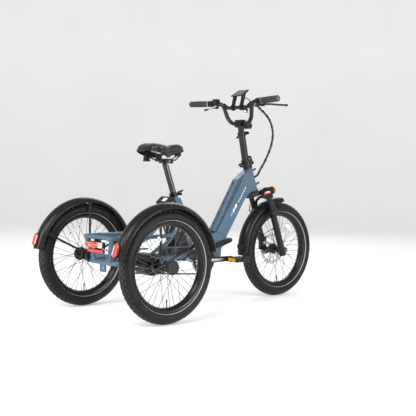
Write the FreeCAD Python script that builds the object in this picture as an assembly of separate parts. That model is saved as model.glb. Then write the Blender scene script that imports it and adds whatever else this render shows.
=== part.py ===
import FreeCAD, Part
import math
import os

Vec = FreeCAD.Vector

# Adult tricycle. +X is forward, +Y is left and +Z is up, in millimetres. Sub-parts are drawn
# with x = 0 at the rear axle, and save() moves them so that the origin lies on the ground
# under the middle of the whole tricycle.

# Driving dimensions
wheel_radius = 262.5
tyre_half_width = 33.0
wheelbase = 1069.0
half_track = 339.0
axle_height = wheel_radius
origin_ahead_of_rear_axle = 514.0

# Steering: the pivot is a point on the steering axis, in the middle of the head tube
pivot = Vec(851, 0, 653)
steering_tilt = math.radians(20.5)
fork_forward = 36.0
fork_half_spacing = 70.0
stanchion_radius = 14.0
lower_radius = 18.0
crown_top = -68.3
crown_bottom = -94.0
shoulder_drop = 25.0
lower_top = -198.0
lower_bottom = -460.0
axle_along = -442.1
axle_forward = 67.4
front_axle_radius = 6.0

# Riser, handlebar and saddle
riser_foot = Vec(806, 0, 768)
riser_head = Vec(774.5, 0, 912)
bar_centre = Vec(766, 0, 955)
bar_radius = 11.1
bar_lower_bend = 60.0
bar_upper_bend = 38.0
grip_inner_y = 205.0
bar_half_width = 337.0
seat_foot = Vec(309, 0, 577)
seat_head = Vec(250, 0, 736)
seatpost_radius = 15.5

perch_y = {1: 187.0, -1: 168.0}
keypad_y = 158.0
display_length = 70.0
display_width = 76.0

# Drive: chain wheel, rear sprocket and the chain line
chain_pitch = 12.7
chainring_teeth = 36
sprocket_teeth = 28
chain_links = 104
chain_y = -66.0
bracket_height = 243.0
crank_length = 170.0
crank_y = 91.0
pedal_y = 150.0

# Frame tubes
housing_radius = 17.0
housing_bore = 8.9
half_axle_radius = 8.5
carrier_inner_y = 262.0
journal_radius = 20.0
drive_inner_y = 150.0
drive_outer_y = 240.0
carrier_outer_y = 284.0
strut_y = 290.0
rail_z = 380.0
rail_half_width = 116.0
tube_foot = Vec(581, 0, 385)
tube_slope = math.radians(56.46)

running_gap = 0.05
free_gap = 0.3


# ---------------------------------------------------------------- basic shapes

def steer_up():
    return Vec(-math.sin(steering_tilt), 0, math.cos(steering_tilt))


def steer_ahead():
    return Vec(math.cos(steering_tilt), 0, math.sin(steering_tilt))


def steer_point(along, forward=0.0, side=0.0):
    """A point measured along the steering axis, forward of it and to its left."""
    return pivot + steer_up() * along + steer_ahead() * forward + Vec(0, side, 0)


def rod(start, end, radius):
    return Part.makeCylinder(radius, (end - start).Length, start, end - start)


def sleeve(start, end, outer, inner):
    return rod(start, end, outer).cut(rod(start, end, inner))


def rod_y(x, z, y_low, y_high, radius):
    return rod(Vec(x, y_low, z), Vec(x, y_high, z), radius)


def block(x_low, x_high, y_low, y_high, z_low, z_high):
    return Part.makeBox(x_high - x_low, y_high - y_low, z_high - z_low, Vec(x_low, y_low, z_low))


def side_plate(outline, y_low, y_high):
    """A plate between two y values whose side view is the outline of (x, z) points."""
    corners = [Vec(x, y_low, z) for x, z in outline]
    face = Part.Face(Part.makePolygon(corners + corners[:1]))
    return face.extrude(Vec(0, y_high - y_low, 0))


def steer_plate(outline, side_low, side_high):
    """As side_plate, with (along, forward) points measured from the steering axis."""
    corners = [steer_point(along, forward, side_low) for along, forward in outline]
    face = Part.Face(Part.makePolygon(corners + corners[:1]))
    return face.extrude(Vec(0, side_high - side_low, 0))


def round_edges(shape, radius, chosen):
    edges = [edge for edge in shape.Edges if chosen(edge)]
    return shape.makeFillet(radius, edges)


def along_y(edge):
    start, end = edge.Vertexes[0].Point, edge.Vertexes[-1].Point
    return abs(end.x - start.x) < 0.01 and abs(end.z - start.z) < 0.01


def across_y(edge):
    start, end = edge.Vertexes[0].Point, edge.Vertexes[-1].Point
    return abs(end.y - start.y) < 0.01


def merge(shapes):
    return shapes[0].fuse(shapes[1:]).removeSplitter()


def largest(shape):
    return max(shape.Solids, key=lambda solid: solid.Volume)


def mirrored(shape):
    return shape.mirror(Vec(0, 0, 0), Vec(0, 1, 0))


def both_sides(shape):
    return [shape, mirrored(shape)]


def turned_y(shape, degrees, centre=Vec(0, 0, 0)):
    copy = shape.copy()
    copy.rotate(centre, Vec(0, 1, 0), degrees)
    return copy


def moved(shape, x, y, z):
    return shape.translated(Vec(x, y, z))


def revolved(outline):
    """A ring about the Y axis from a closed outline of (radius, y) points."""
    corners = [Vec(radius, y, 0) for radius, y in outline]
    face = Part.Face(Part.makePolygon(corners + corners[:1]))
    return face.revolve(Vec(0, 0, 0), Vec(0, 1, 0), 360)


def route_wire(points, bend_radius):
    """Straight runs joined by tangent arcs. bend_radius(before, after, turn) sizes each arc."""
    edges = []
    start = points[0]
    for before, corner, after in zip(points, points[1:], points[2:]):
        arriving = (corner - before).normalize()
        leaving = (after - corner).normalize()
        turn = arriving.getAngle(leaving)
        radius = bend_radius((corner - before).Length, (after - corner).Length, turn)
        reach = radius * math.tan(turn / 2)
        inward = (leaving - arriving).normalize()
        middle = corner + inward * (radius / math.cos(turn / 2) - radius)
        edges.append(Part.LineSegment(start, corner - arriving * reach).toShape())
        edges.append(Part.Arc(corner - arriving * reach, middle, corner + leaving * reach).toShape())
        start = corner + leaving * reach
    edges.append(Part.LineSegment(start, points[-1]).toShape())
    return Part.Wire(edges)


def swept(points, radius, bend_radius):
    wire = route_wire(points, bend_radius)
    profile = Part.Wire(Part.makeCircle(radius, points[0], points[1] - points[0]))
    return wire.makePipeShell([profile], True, True)


def bent_tube(points, radius, bend):
    return swept(points, radius, lambda before, after, turn: bend)


def cable(name, points, radius):
    """A cable with each bend as large as its two runs allow; prints the bend radii."""
    radii = []

    def easy_bend(before, after, turn):
        radii.append(0.45 * min(before, after) / math.tan(turn / 2))
        return radii[-1]

    solid = swept(points, radius, easy_bend)
    print(name, "bend radii:", [round(value) for value in radii])
    return solid


# ---------------------------------------------------------------- wheels, about the Y axis

def tyre():
    """Tyre casing, open towards the rim between its two beads."""
    def half(side, bead_y, wide, shoulder, crown, low):
        bead = Part.LineSegment(Vec(low, side * bead_y, 0), Vec(208.6, side * bead_y, 0))
        wall = Part.Arc(Vec(208.6, side * bead_y, 0), Vec(232, side * wide, 0),
                        Vec(shoulder[0], side * shoulder[1], 0))
        return bead, wall, Part.Arc(Vec(shoulder[0], side * shoulder[1], 0), Vec(crown, 0, 0),
                                    Vec(shoulder[0], -side * shoulder[1], 0))

    bead_l, wall_l, outer = half(1, 16.0, tyre_half_width, (252, 22), wheel_radius, 200.5)
    bead_r, wall_r, _ = half(-1, 16.0, tyre_half_width, (252, 22), wheel_radius, 200.5)
    inner_bead_l, inner_wall_l, inner = half(1, 11.0, 28.0, (248, 18), 256.5, 200.5)
    inner_bead_r, inner_wall_r, _ = half(-1, 11.0, 28.0, (248, 18), 256.5, 200.5)
    foot_l = Part.LineSegment(Vec(200.5, 16, 0), Vec(200.5, 11, 0))
    foot_r = Part.LineSegment(Vec(200.5, -16, 0), Vec(200.5, -11, 0))
    pieces = [bead_l, wall_l, outer, wall_r, bead_r, foot_r,
              inner_bead_r, inner_wall_r, inner, inner_wall_l, inner_bead_l, foot_l]
    edges = Part.sortEdges([piece.toShape() for piece in pieces])[0]
    face = Part.Face(Part.Wire(edges))
    return face.revolve(Vec(0, 0, 0), Vec(0, 1, 0), 360)


def rim():
    """Double-wall rim with a narrow inner nose, and the valve at the bottom of the wheel."""
    ring = revolved([(187, -8), (187, 8), (196, 22), (207, 24), (207, 20), (200, 16.4),
                     (200, -16.4), (207, -20), (207, -24), (196, -22)])
    valve = rod(Vec(0, 0, -186.9), Vec(0, 0, -148), 3.2)
    return [ring, valve]


def spokes(flange_half_width):
    """36 spokes, laced three-cross: half of each side leads and half trails."""
    solids = []
    for index in range(36):
        side = 1 if index % 2 else -1
        lead = 1 if index % 4 < 2 else -1
        rim_angle = math.radians(10 * index + 5)
        hub_angle = rim_angle + lead * math.radians(56)
        hub_end = Vec(26 * math.cos(hub_angle), side * (flange_half_width + 0.4 + lead * 4.6),
                      26 * math.sin(hub_angle))
        rim_end = Vec(186.6 * math.cos(rim_angle), side * 2.5, 186.6 * math.sin(rim_angle))
        reach = (rim_end - hub_end).normalize()
        spoke = rod(hub_end, rim_end, 1.1)
        nipple = rod(rim_end - reach * 12, rim_end, 2.0)
        solids.append(spoke.fuse(nipple))
    return solids


def hub(flange_half_width, end_inner, end_outer, bore):
    """Hub shell with two spoke flanges; bore is 0 when the hub is solid on its axle."""
    flange = flange_half_width
    outline = [(bore, end_inner), (15, end_inner), (15, -flange - 1.5), (30, -flange - 1.5),
               (30, -flange + 1.5), (17, -flange + 6), (17, flange - 6), (30, flange - 1.5),
               (30, flange + 1.5), (15, flange + 1.5), (15, end_outer), (bore, end_outer)]
    return revolved(outline)


def front_wheel_place(shape):
    return moved(shape, wheelbase, 0, axle_height)


def rear_wheel_place(shape, side):
    placed = shape if side > 0 else mirrored(shape)
    return moved(placed, 0, side * half_track, axle_height)


def front_hub():
    shell = hub(28, -49.7, 49.7, front_axle_radius + running_gap)
    rotor_seat = sleeve(Vec(0, 31, 0), Vec(0, 39.8, 0), 21, 14)
    return front_wheel_place(shell.fuse(rotor_seat))


def front_rotor():
    """Brake disc on the left of the hub: a braking ring on six arms."""
    low, high = Vec(0, 40, 0), Vec(0, 41.8, 0)
    arms = []
    for index in range(6):
        arm = block(20, 74, -4, 4, -5, 5)
        arm = moved(arm, 0, 40.9, 0).common(block(20, 74, 40, 41.8, -5, 5))
        arms.append(turned_y(arm, 60 * index))
    ring = sleeve(low, high, 88, 71)
    centre = sleeve(low, high, 28, 15.3)
    return front_wheel_place(merge([ring, centre] + arms))


def rear_hub(side):
    """Hub fixed on its half axle, with the round cap on its outer end."""
    shell = hub(28, -39, 34, 0)
    cap = rod(Vec(0, 34, 0), Vec(0, 50, 0), 33.5)
    cap = round_edges(cap, 5, lambda edge: edge.BoundBox.YMin > 49)
    inner_end = -90.0 if side > 0 else 100.0
    axle = rod(Vec(0, inner_end - half_track, 0), Vec(0, -38.5, 0), half_axle_radius)
    return rear_wheel_place(merge([shell, cap, axle]), side)


# ---------------------------------------------------------------- fenders and their struts

def fender_shell(crown_radius, half_width, from_degrees, to_degrees):
    """A curved strip round the wheel whose section is one arc, 2.5 mm thick."""
    drop = 25.0

    def arc(offset):
        edge = Vec(crown_radius - drop, half_width - offset * 0.6, 0)
        other = Vec(crown_radius - drop, -half_width + offset * 0.6, 0)
        return Part.Arc(edge, Vec(crown_radius - offset, 0, 0), other), edge, other

    outer, outer_left, outer_right = arc(0.0)
    inner, inner_left, inner_right = arc(2.5)
    lips = [Part.LineSegment(outer_left, inner_left), Part.LineSegment(outer_right, inner_right)]
    edges = Part.sortEdges([piece.toShape() for piece in [outer, inner] + lips])[0]
    face = turned_y(Part.Face(Part.Wire(edges)), -from_degrees)
    return face.revolve(Vec(0, 0, 0), Vec(0, 1, 0), from_degrees - to_degrees)


def rear_fender(side):
    return moved(fender_shell(293, 40, 10.5, 171.5), 0, side * half_track, axle_height)


def front_fender():
    """Front fender with its bridge tab behind the crown and its two wire stays."""
    shell = front_wheel_place(fender_shell(292, 38, 85, 184))
    clamps = []
    for side in (-1, 1):
        clamps.append(cable_free_wire([Vec(829, side * 41, 315), Vec(900, side * 47, 352),
                                       Vec(979, side * 50.5, 382)]))
    return [shell] + clamps


def cable_free_wire(points):
    return bent_tube(points, 2.0, 60)


def fender_strut(degrees, side):
    """A strut in the plane beside the wheel, from the axle carrier to the fender's edge."""
    angle = math.radians(degrees)
    away = Vec(math.cos(angle), 0, math.sin(angle))
    centre = Vec(0, side * strut_y, axle_height)
    foot = centre + away * 26
    tip = centre + away * 264
    boss = rod(Vec(foot.x, side * carrier_outer_y, foot.z), Vec(foot.x, side * 295, foot.z), 8)
    tab = rod(tip - Vec(0, side * 4, 0), tip + Vec(0, side * 8.4, 0), 5)
    return merge([rod(foot, tip, 5.5), boss, tab])


def rear_fender_struts():
    return [fender_strut(degrees, side) for side in (-1, 1) for degrees in (22, 90, 154)]


def fender_reflectors():
    """Oval reflectors on the rear ends of the two rear fenders."""
    solids = []
    for side in (-1, 1):
        middle = rod(Vec(293.5, 0, -16), Vec(305, 0, -16), 18)
        other = rod(Vec(293.5, 0, 16), Vec(305, 0, 16), 18)
        body = merge([middle, other, block(293.5, 305, -18, 18, -16, 16)])
        solids.append(moved(turned_y(body, -162.5), 0, side * half_track, axle_height))
    return solids


# ---------------------------------------------------------------- welded frame

def head_tube():
    """Head tube with two threaded bosses on its front and the cable port between them."""
    tube = sleeve(steer_point(-60), steer_point(66), 24, 22)
    bosses = [rod(steer_point(along, 22.8), steer_point(along, 54), 6.5) for along in (44, -36)]
    holes = [rod(steer_point(along, 40), steer_point(along, 55), 2.5) for along in (44, -36)]
    port = rod(steer_point(6, 22.8), steer_point(6, 28), 8)
    return merge([tube, port] + bosses).cut(Part.makeCompound(holes))


def tube_point(along, out=0.0):
    """A point (x, z) measured up the rear face of the down tube and out from that face."""
    return (tube_foot.x + along * math.cos(tube_slope) - out * math.sin(tube_slope),
            tube_foot.z + along * math.sin(tube_slope) + out * math.cos(tube_slope))


def down_tube():
    """Deep flat-sided tube with a concave gusset up to the head tube."""
    outline = [tube_point(0), (644, 347), (765, 529), (780, 551), (796, 568), (814, 581),
               (834, 590), (859, 600), (828.6, 712.8), tube_point(358)]
    body = side_plate(outline, -34, 34)
    taper = [(0, -34), (0, 34), (300, 34), (400, 26), (520, 26), (520, -26), (400, -26), (300, -34)]
    ahead = Vec(math.cos(tube_slope), 0, math.sin(tube_slope))
    start = Vec(612, 0, 366) - ahead * 30
    corners = [start + ahead * distance + Vec(0, y, 0) for distance, y in taper]
    across = Vec(math.sin(tube_slope), 0, -math.cos(tube_slope))
    plan = Part.Face(Part.makePolygon(corners + corners[:1]))
    plan = plan.translated(across * -150).extrude(across * 300)
    return body.common(plan).cut(rod(steer_point(-90), steer_point(90), 24))


def down_tube_cover():
    """Stepped lid on the rear of the down tube, over the cable tunnel."""
    sill = side_plate([tube_point(-6, 0.4), tube_point(-6, 8), tube_point(330, 8),
                       tube_point(342, 0.4)], -25, 25)
    lid = side_plate([tube_point(-10, 0.4), tube_point(-10, 13), tube_point(-4, 15.5),
                      tube_point(307, 23.5), tube_point(355, 0.4)], -19, 19)
    return merge([sill, round_edges(lid, 5, lambda edge: across_y(edge) and edge.Length > 200)])


def lower_frame():
    """Beam, seat mast and bottom bracket shell, welded into one piece."""
    beam = side_plate([(366, 262), (372, 317), (425, 335), (535, 370), (575.6, 376.2),
                       (580.8, 384.66), (643.8, 346.66), (614, 290), (608, 250), (590, 238),
                       (470, 223), (430, 230)], -32, 32)
    mast = side_plate([(396, 290), (294.5, 562), (334, 562), (352, 531), (362, 500), (392, 420),
                       (428, 345), (450, 300)], -24, 24)
    shell = rod_y(bracket_x(), bracket_height, -34, 34, 21.5)
    bore = rod_y(bracket_x(), bracket_height, -34, 34, 17.5)
    post_bore = rod(seat_point(-262), seat_point(60), seatpost_radius + running_gap)
    collar = rod(seat_point(-25), seat_point(-8), 19)
    return merge([beam, mast, shell, collar]).cut(bore).cut(post_bore)


def seat_up():
    return (seat_head - seat_foot).normalize()


def seat_point(along, side=0.0):
    """A point on the seatpost's axis, measured up from the seat clamp."""
    return seat_foot + seat_up() * along + Vec(0, side, 0)


def rear_stays():
    """Axle housing with the sprocket's journal, the chain stays and the seat stays."""
    tubes = [rod_y(0, axle_height, -drive_inner_y, carrier_inner_y, housing_radius),
             rod_y(0, axle_height, chain_y - 8, chain_y + 8, journal_radius),
             rod_y(0, axle_height, chain_y + 8, chain_y + 12, journal_radius + 5),
             rod_y(0, axle_height, chain_y - 12, chain_y - 8, journal_radius + 5)]
    for side in (-1, 1):
        tubes.append(rod(Vec(392, side * 30, 268), Vec(8, side * 110, axle_height), 12))
        tubes.append(bent_tube([Vec(340, side * 16, 515), Vec(318, side * 68, 466),
                                Vec(212, side * 88, 350), Vec(6, side * 130, 268)], 9, 40))
    bore = rod_y(0, axle_height, -drive_inner_y, carrier_inner_y, housing_bore)
    return largest(merge(tubes).cut(lower_frame())).cut(bore)


def rear_rack():
    """Rack rails, lower rear bar, uprights, deck tabs and the hitch tab."""
    wide = rail_half_width
    rails = bent_tube([Vec(224, -91, rail_z + 2), Vec(150, -wide, rail_z), Vec(-152, -wide, rail_z),
                       Vec(-152, wide, rail_z), Vec(150, wide, rail_z), Vec(224, 91, rail_z + 2)],
                      10, 28)
    lower = bent_tube([Vec(-4, -136, 262), Vec(-72, -136, 260), Vec(-117, -100, 259),
                       Vec(-117, 100, 259), Vec(-72, 136, 260), Vec(-4, 136, 262)], 10, 36)
    pieces = [rails, lower, rod_y(60, rail_z, -wide, wide, 8)]
    for side in (-1, 1):
        pieces.append(rod(Vec(-142, side * 110, 378), Vec(-117, side * 57, 259), 8))
        pieces.append(rod(Vec(6, side * wide, rail_z), Vec(2, side * wide, 270), 8))
        for x in (-120, 120):
            tab = block(x - 12, x + 12, 0, 30, 377, 381)
            tab = moved(tab, 0, 82, 0).cut(rod(Vec(x, 94, 370), Vec(x, 94, 390), 3.2))
            pieces.append(tab if side > 0 else mirrored(tab))
    hitch = block(-120, -114, -23, 23, 214, 256).cut(rod(Vec(-125, 0, 232), Vec(-110, 0, 232), 7))
    return largest(merge(pieces + [hitch]).cut(rear_stays()))


def axle_carriers():
    """Bearing housings on the outer ends of the axle housing."""
    ring = rod_y(0, axle_height, carrier_inner_y, carrier_outer_y, 36)
    ring = round_edges(ring, 3, lambda edge: edge.Length > 200)
    bore = rod_y(0, axle_height, carrier_inner_y, carrier_outer_y, half_axle_radius + running_gap)
    return both_sides(ring.cut(bore))


# ---------------------------------------------------------------- drive

def bracket_x():
    """Distance from the rear sprocket to the cranks that a whole number of links closes."""
    front, rear = pitch_radius(chainring_teeth), pitch_radius(sprocket_teeth)
    straight = chain_links * chain_pitch - math.pi * (front + rear)
    centres = (straight + math.sqrt(straight ** 2 - 8 * (front - rear) ** 2)) / 4
    return math.sqrt(centres ** 2 - (axle_height - bracket_height) ** 2)


def pitch_radius(teeth):
    return chain_pitch / (2 * math.sin(math.pi / teeth))


def run_angle(side):
    """Direction, in the side view, from each sprocket's centre to where the run touches it."""
    rise = axle_height - bracket_height
    centres = math.hypot(bracket_x(), rise)
    lean = math.atan2(-rise, bracket_x())
    wedge = math.asin((pitch_radius(chainring_teeth) - pitch_radius(sprocket_teeth)) / centres)
    return lean + side * (math.pi / 2 + wedge)


def touch_point(centre_x, centre_z, radius, side):
    angle = run_angle(side)
    return Vec(centre_x + radius * math.cos(angle), chain_y, centre_z + radius * math.sin(angle))


def toothed_wheel(teeth, phase, bore):
    """A sprocket about the origin with a roller seat at angle phase, its teeth 2 mm thick."""
    radius = pitch_radius(teeth)
    disc = rod(Vec(0, -1, 0), Vec(0, 1, 0), radius + 4.2)
    disc = disc.cut(rod(Vec(0, -1, 0), Vec(0, 1, 0), bore))
    seats = []
    for index in range(teeth):
        angle = phase + 2 * math.pi * index / teeth
        seat = rod(Vec(radius * math.cos(angle), -2, radius * math.sin(angle)),
                   Vec(radius * math.cos(angle), 2, radius * math.sin(angle)), 4.3)
        seats.append(seat)
    return disc.cut(Part.makeCompound(seats))


def chain_band(radius_change):
    """Side view of the whole chain, grown outwards from its pitch line."""
    front = pitch_radius(chainring_teeth) + radius_change
    rear = pitch_radius(sprocket_teeth) + radius_change
    top_front = touch_point(bracket_x(), bracket_height, front, 1)
    low_front = touch_point(bracket_x(), bracket_height, front, -1)
    top_rear = touch_point(0, axle_height, rear, 1)
    low_rear = touch_point(0, axle_height, rear, -1)
    nose = Vec(bracket_x() + front, chain_y, bracket_height)
    tail = Vec(-rear, chain_y, axle_height)
    edges = [Part.LineSegment(top_rear, top_front), Part.Arc(top_front, nose, low_front),
             Part.LineSegment(low_front, low_rear), Part.Arc(low_rear, tail, top_rear)]
    return Part.Face(Part.Wire([edge.toShape() for edge in edges]))


def chain():
    """Two side plates right round the sprockets, joined by rollers along the straight runs."""
    band = chain_band(4.0).cut(chain_band(-4.0))
    plates = []
    for offset in (-3.4, 2.2):
        plates.append(band.translated(Vec(0, offset, 0)).extrude(Vec(0, 1.2, 0)))
    rollers = []
    for side in (-1, 1):
        start = touch_point(0, axle_height, pitch_radius(sprocket_teeth), side)
        end = touch_point(bracket_x(), bracket_height, pitch_radius(chainring_teeth), side)
        count = int((end - start).Length / chain_pitch)
        step = (end - start) * (1.0 / count)
        for index in range(3, count - 2):
            centre = start + step * index
            rollers.append(rod(centre - Vec(0, 2.8, 0), centre + Vec(0, 2.8, 0), 3.9))
    return merge(plates + rollers)


def rear_sprocket():
    """Rear sprocket, turning on the journal of the axle housing."""
    run = touch_point(0, axle_height, pitch_radius(sprocket_teeth), 1)
    length = (touch_point(bracket_x(), bracket_height, pitch_radius(chainring_teeth), 1) - run).Length
    spare = (length % chain_pitch) / pitch_radius(sprocket_teeth)
    wheel = toothed_wheel(sprocket_teeth, run_angle(1) + spare, journal_radius + running_gap)
    collar = sleeve(Vec(0, 1, 0), Vec(0, 4.5, 0), 27, journal_radius + running_gap)
    return moved(wheel.fuse(collar), 0, chain_y, axle_height)


def drive_unit():
    """Motor and differential housing on the right half axle, next to its bearing."""
    drum = rod_y(0, axle_height, -drive_outer_y, -drive_inner_y, 52)
    drum = round_edges(drum, 6, lambda edge: edge.Length > 300)
    sleeve_end = rod_y(0, axle_height, -carrier_inner_y, -drive_outer_y, housing_radius)
    bore = rod_y(0, axle_height, -carrier_inner_y, -drive_inner_y, housing_bore)
    return merge([drum, sleeve_end]).cut(bore)


def crankset():
    """Chain wheel, spider, both crank arms, the spindle and the two pedal spindles."""
    x, z = bracket_x(), bracket_height
    ring = toothed_wheel(chainring_teeth, run_angle(1), 50)
    pieces = [moved(ring, x, chain_y, z)]
    for index in range(5):
        arm = block(10, 60, -2.5, 2.5, -9, 9)
        pieces.append(moved(turned_y(arm, 72 * index + 36), x, chain_y - 3.5, z))
    pieces.append(rod_y(x, z, -crank_y - 7, crank_y + 7, 8.5))
    pieces.append(rod_y(x, z, -crank_y - 7, chain_y - 1, 19))
    pieces.append(rod_y(x, z, crank_y - 8, crank_y + 7, 19))
    for side, ahead in ((-1, 1), (1, -1)):
        outline = [(x, z - 18), (x + ahead * 60, z - 13), (x + ahead * crank_length, z - 13),
                   (x + ahead * crank_length, z + 13), (x + ahead * 60, z + 13), (x, z + 18)]
        pieces.append(side_plate(outline, side * crank_y - 7, side * crank_y + 7))
        end_x = x + ahead * crank_length
        pieces.append(rod_y(end_x, z, side * crank_y - 7, side * crank_y + 7, 13))
        tips = sorted((side * (crank_y + 6), side * (pedal_y + 40)))
        pieces.append(rod_y(end_x, z, tips[0], tips[1], 5))
    return merge(pieces)


def pedal(side, ahead):
    """Platform pedal: a cage round a central barrel, closed at its outer end."""
    barrel = rod(Vec(0, -42, 0), Vec(0, 44, 0), 11)
    cage = block(-46, 46, -38, 38, -11, 11).cut(block(-38, 38, -31, 31, -12, 12))
    ribs = [block(-40, 40, y - 3, y + 3, -8, 8) for y in (-20, 20)]
    bore = rod(Vec(0, -43, 0), Vec(0, 40.4, 0), 5 + running_gap)
    body = merge([barrel, cage] + ribs).cut(bore)
    placed = body if side > 0 else mirrored(body)
    return moved(placed, bracket_x() + ahead * crank_length, side * pedal_y, bracket_height)


def frame_bearings():
    """Headset cups and the bottom bracket cartridge."""
    lower = sleeve(steer_point(-68), steer_point(-60), 25, 14.3 + running_gap)
    upper = sleeve(steer_point(66), steer_point(74), 25, 14.3 + running_gap)
    x, z = bracket_x(), bracket_height
    cartridge = rod_y(x, z, -38, 38, 17.45).cut(rod_y(x, z, -40, 40, 8.5 + running_gap))
    return [lower, upper, cartridge]


# ---------------------------------------------------------------- battery, lights and trim

def battery_pack():
    body = side_plate([(305, 318), (371, 318), (379, 329), (291, 556), (280, 564), (262, 568),
                       (224, 538)],
                      -40, 40)
    return round_edges(body, 7, lambda edge: across_y(edge) and edge.Length > 200)


def battery_dock():
    """Housing under the battery, notched round the mast and the chain stays."""
    body = side_plate([(250, 317.6), (412, 317.6), (400, 290), (350, 244), (276, 250), (254, 275)],
                      -50, 50)
    return body.cut(lower_frame()).cut(rear_stays())


def frame_pad():
    """Moulded pad that wraps the front of the beam below the down tube."""
    outline = [(572, 295), (572, 323), (616, 334), (668, 345), (683, 342), (688, 332), (682, 323),
               (616, 303)]
    return side_plate(outline, -40, 40).cut(lower_frame()).cut(down_tube())


def seat_clamp():
    """Split collar round the top of the seat mast, with its skewer lugs in front."""
    ring = sleeve(seat_point(-8), seat_point(10), 23, seatpost_radius + running_gap)
    lugs = moved(block(16, 38, -11, 11, -8, 8), seat_foot.x, 0, seat_foot.z + 4)
    lugs = lugs.cut(rod(seat_point(-20), seat_point(30), seatpost_radius + 1))
    lugs = lugs.cut(block(seat_foot.x, seat_foot.x + 45, -1, 1, seat_foot.z - 20, seat_foot.z + 20))
    skewer_hole = rod_y(seat_foot.x + 31, seat_foot.z + 4, -12, 12, 3 + running_gap)
    return largest(merge([ring, lugs]).cut(skewer_hole).cut(lower_frame()))


def seat_lever():
    """Quick release: skewer, its nut and the curved lever on the left."""
    x, z = seat_foot.x + 31, seat_foot.z + 4
    skewer = rod_y(x, z, -20, 20, 3)
    nut = rod_y(x, z, -20, -11.4, 8)
    cam = rod_y(x, z, 11.4, 24, 8)
    blade = side_plate([(x - 5, z - 6), (x + 6, z - 4), (x + 46, z + 14), (x + 42, z + 22),
                        (x - 4, z + 6)], 16, 22)
    return merge([skewer, nut, cam, blade])


def tail_light():
    """Tail lamp, the reflector bar below it and the bracket that hangs them on the rack."""
    lamp = block(-174, -150, -66, 66, 331, 360)
    lamp = round_edges(lamp, 6, lambda edge: edge.BoundBox.XMax < -173)
    strip = block(-163, -150, -64, 64, 307, 325)
    plate = block(-150, -146, -28, 28, 305, 369.5)
    return [merge([lamp, strip, plate])]


def headlight():
    """Round lamp with the bracket that carries it on the fork's brace, and its lens."""
    lamp = rod(Vec(960, 0, 590), Vec(1022, 0, 595), 20)
    bracket = steer_plate([(-134, 72.4), (-116, 72.4), (-108, 84), (-108, 100), (-124, 100)], -6, 6)
    lens = rod(Vec(1022.1, 0, 595), Vec(1031, 0, 595.8), 19)
    return [merge([lamp, bracket]), lens]


# ---------------------------------------------------------------- fork

def crown_arm(side):
    """Arm of the crown, which drops from the middle to its leg."""
    outline = [(0, crown_top), (30, crown_top), (52, crown_top - shoulder_drop),
               (84, crown_top - shoulder_drop), (90, crown_top - shoulder_drop - 6),
               (90, crown_bottom - shoulder_drop),
               (56, crown_bottom - shoulder_drop), (30, crown_bottom), (0, crown_bottom)]
    corners = [steer_point(along, 16, side * out) for out, along in outline]
    face = Part.Face(Part.makePolygon(corners + corners[:1]))
    return face.extrude(steer_ahead() * 34)


def fork_crown():
    """Crown with its steerer tube and the two stanchions."""
    outline = [(-24, -18), (4, -30), (40, -34), (50, -20), (50, 20), (40, 34), (4, 30), (-24, 18)]
    corners = [steer_point(crown_bottom, forward, side) for forward, side in outline]
    face = Part.Face(Part.makePolygon(corners + corners[:1]))
    pieces = [face.extrude(steer_up() * (crown_top - crown_bottom)), crown_arm(-1), crown_arm(1)]
    pieces.append(rod(steer_point(crown_top - 2), steer_point(96), 14.3))
    for side in (-fork_half_spacing, fork_half_spacing):
        foot = steer_point(-300, fork_forward, side)
        shoulder = crown_bottom - shoulder_drop
        pieces.append(rod(foot, steer_point(shoulder + 10, fork_forward, side), stanchion_radius))
        pieces.append(rod(steer_point(shoulder - 3, fork_forward, side),
                          steer_point(crown_top - shoulder_drop + 0.8, fork_forward, side), 15.6))
    return merge(pieces)


def fork_lowers():
    """Sliding legs, their brace over the fender, the dropouts and the wheel axle."""
    pieces = []
    bores = []
    for side in (-1, 1):
        y = side * fork_half_spacing
        top = steer_point(lower_top, fork_forward, y)
        pieces.append(rod(steer_point(lower_bottom, fork_forward, y), top, lower_radius))
        pieces.append(rod(steer_point(lower_top - 16, fork_forward, y), top, lower_radius + 3))
        bores.append(rod(steer_point(-345, fork_forward, y), steer_point(-140, fork_forward, y),
                         stanchion_radius + running_gap))
        lug = [(axle_along + 16, fork_forward), (axle_along + 14, axle_forward + 8),
               (axle_along, axle_forward + 15), (axle_along - 14, axle_forward + 8),
               (axle_along - 18, fork_forward)]
        low, high = sorted((side * 50, side * 64))
        pieces.append(steer_plate(lug, low, high))
        nut_low, nut_high = sorted((side * 64, side * 72))
        pieces.append(rod(steer_point(axle_along, axle_forward, nut_low),
                          steer_point(axle_along, axle_forward, nut_high), 11))
    brace = [steer_point(-212, 52, -76), steer_point(-150, 62, -66), steer_point(-126, 64, -28),
             steer_point(-126, 64, 28), steer_point(-150, 62, 66), steer_point(-212, 52, 76)]
    pieces.append(bent_tube(brace, 8, 24))
    pieces.append(rod(steer_point(axle_along, axle_forward, -64),
                      steer_point(axle_along, axle_forward, 64), front_axle_radius))
    return merge(pieces).cut(Part.makeCompound(bores))


def front_caliper():
    """Disc brake caliper on the back of the left leg, slotted round the disc."""
    body = block(970, 1012, 31, 51, 262, 334)
    slot = block(978, 1020, 38.4, 43.4, 250, 345)
    mount = steer_plate([(-440, 4), (-440, 17.5), (-325, 17.5), (-325, 4)], 46, 66)
    body = round_edges(body.cut(slot), 3, lambda edge: edge.BoundBox.XMax < 970.5)
    return merge([body, mount])


def lockout_knob():
    """Turn knob on top of the right leg."""
    low = crown_top - shoulder_drop + 1.1
    high = low + 9
    base = steer_point(low, fork_forward, -fork_half_spacing)
    top = steer_point(high, fork_forward, -fork_half_spacing)
    flag = steer_plate([(low, 10), (high, 12), (high, fork_forward), (low, fork_forward)], -76, -64)
    return rod(base, top, 15).fuse(flag)


# ---------------------------------------------------------------- riser and handlebar

def riser_up():
    return (riser_head - riser_foot).normalize()


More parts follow.
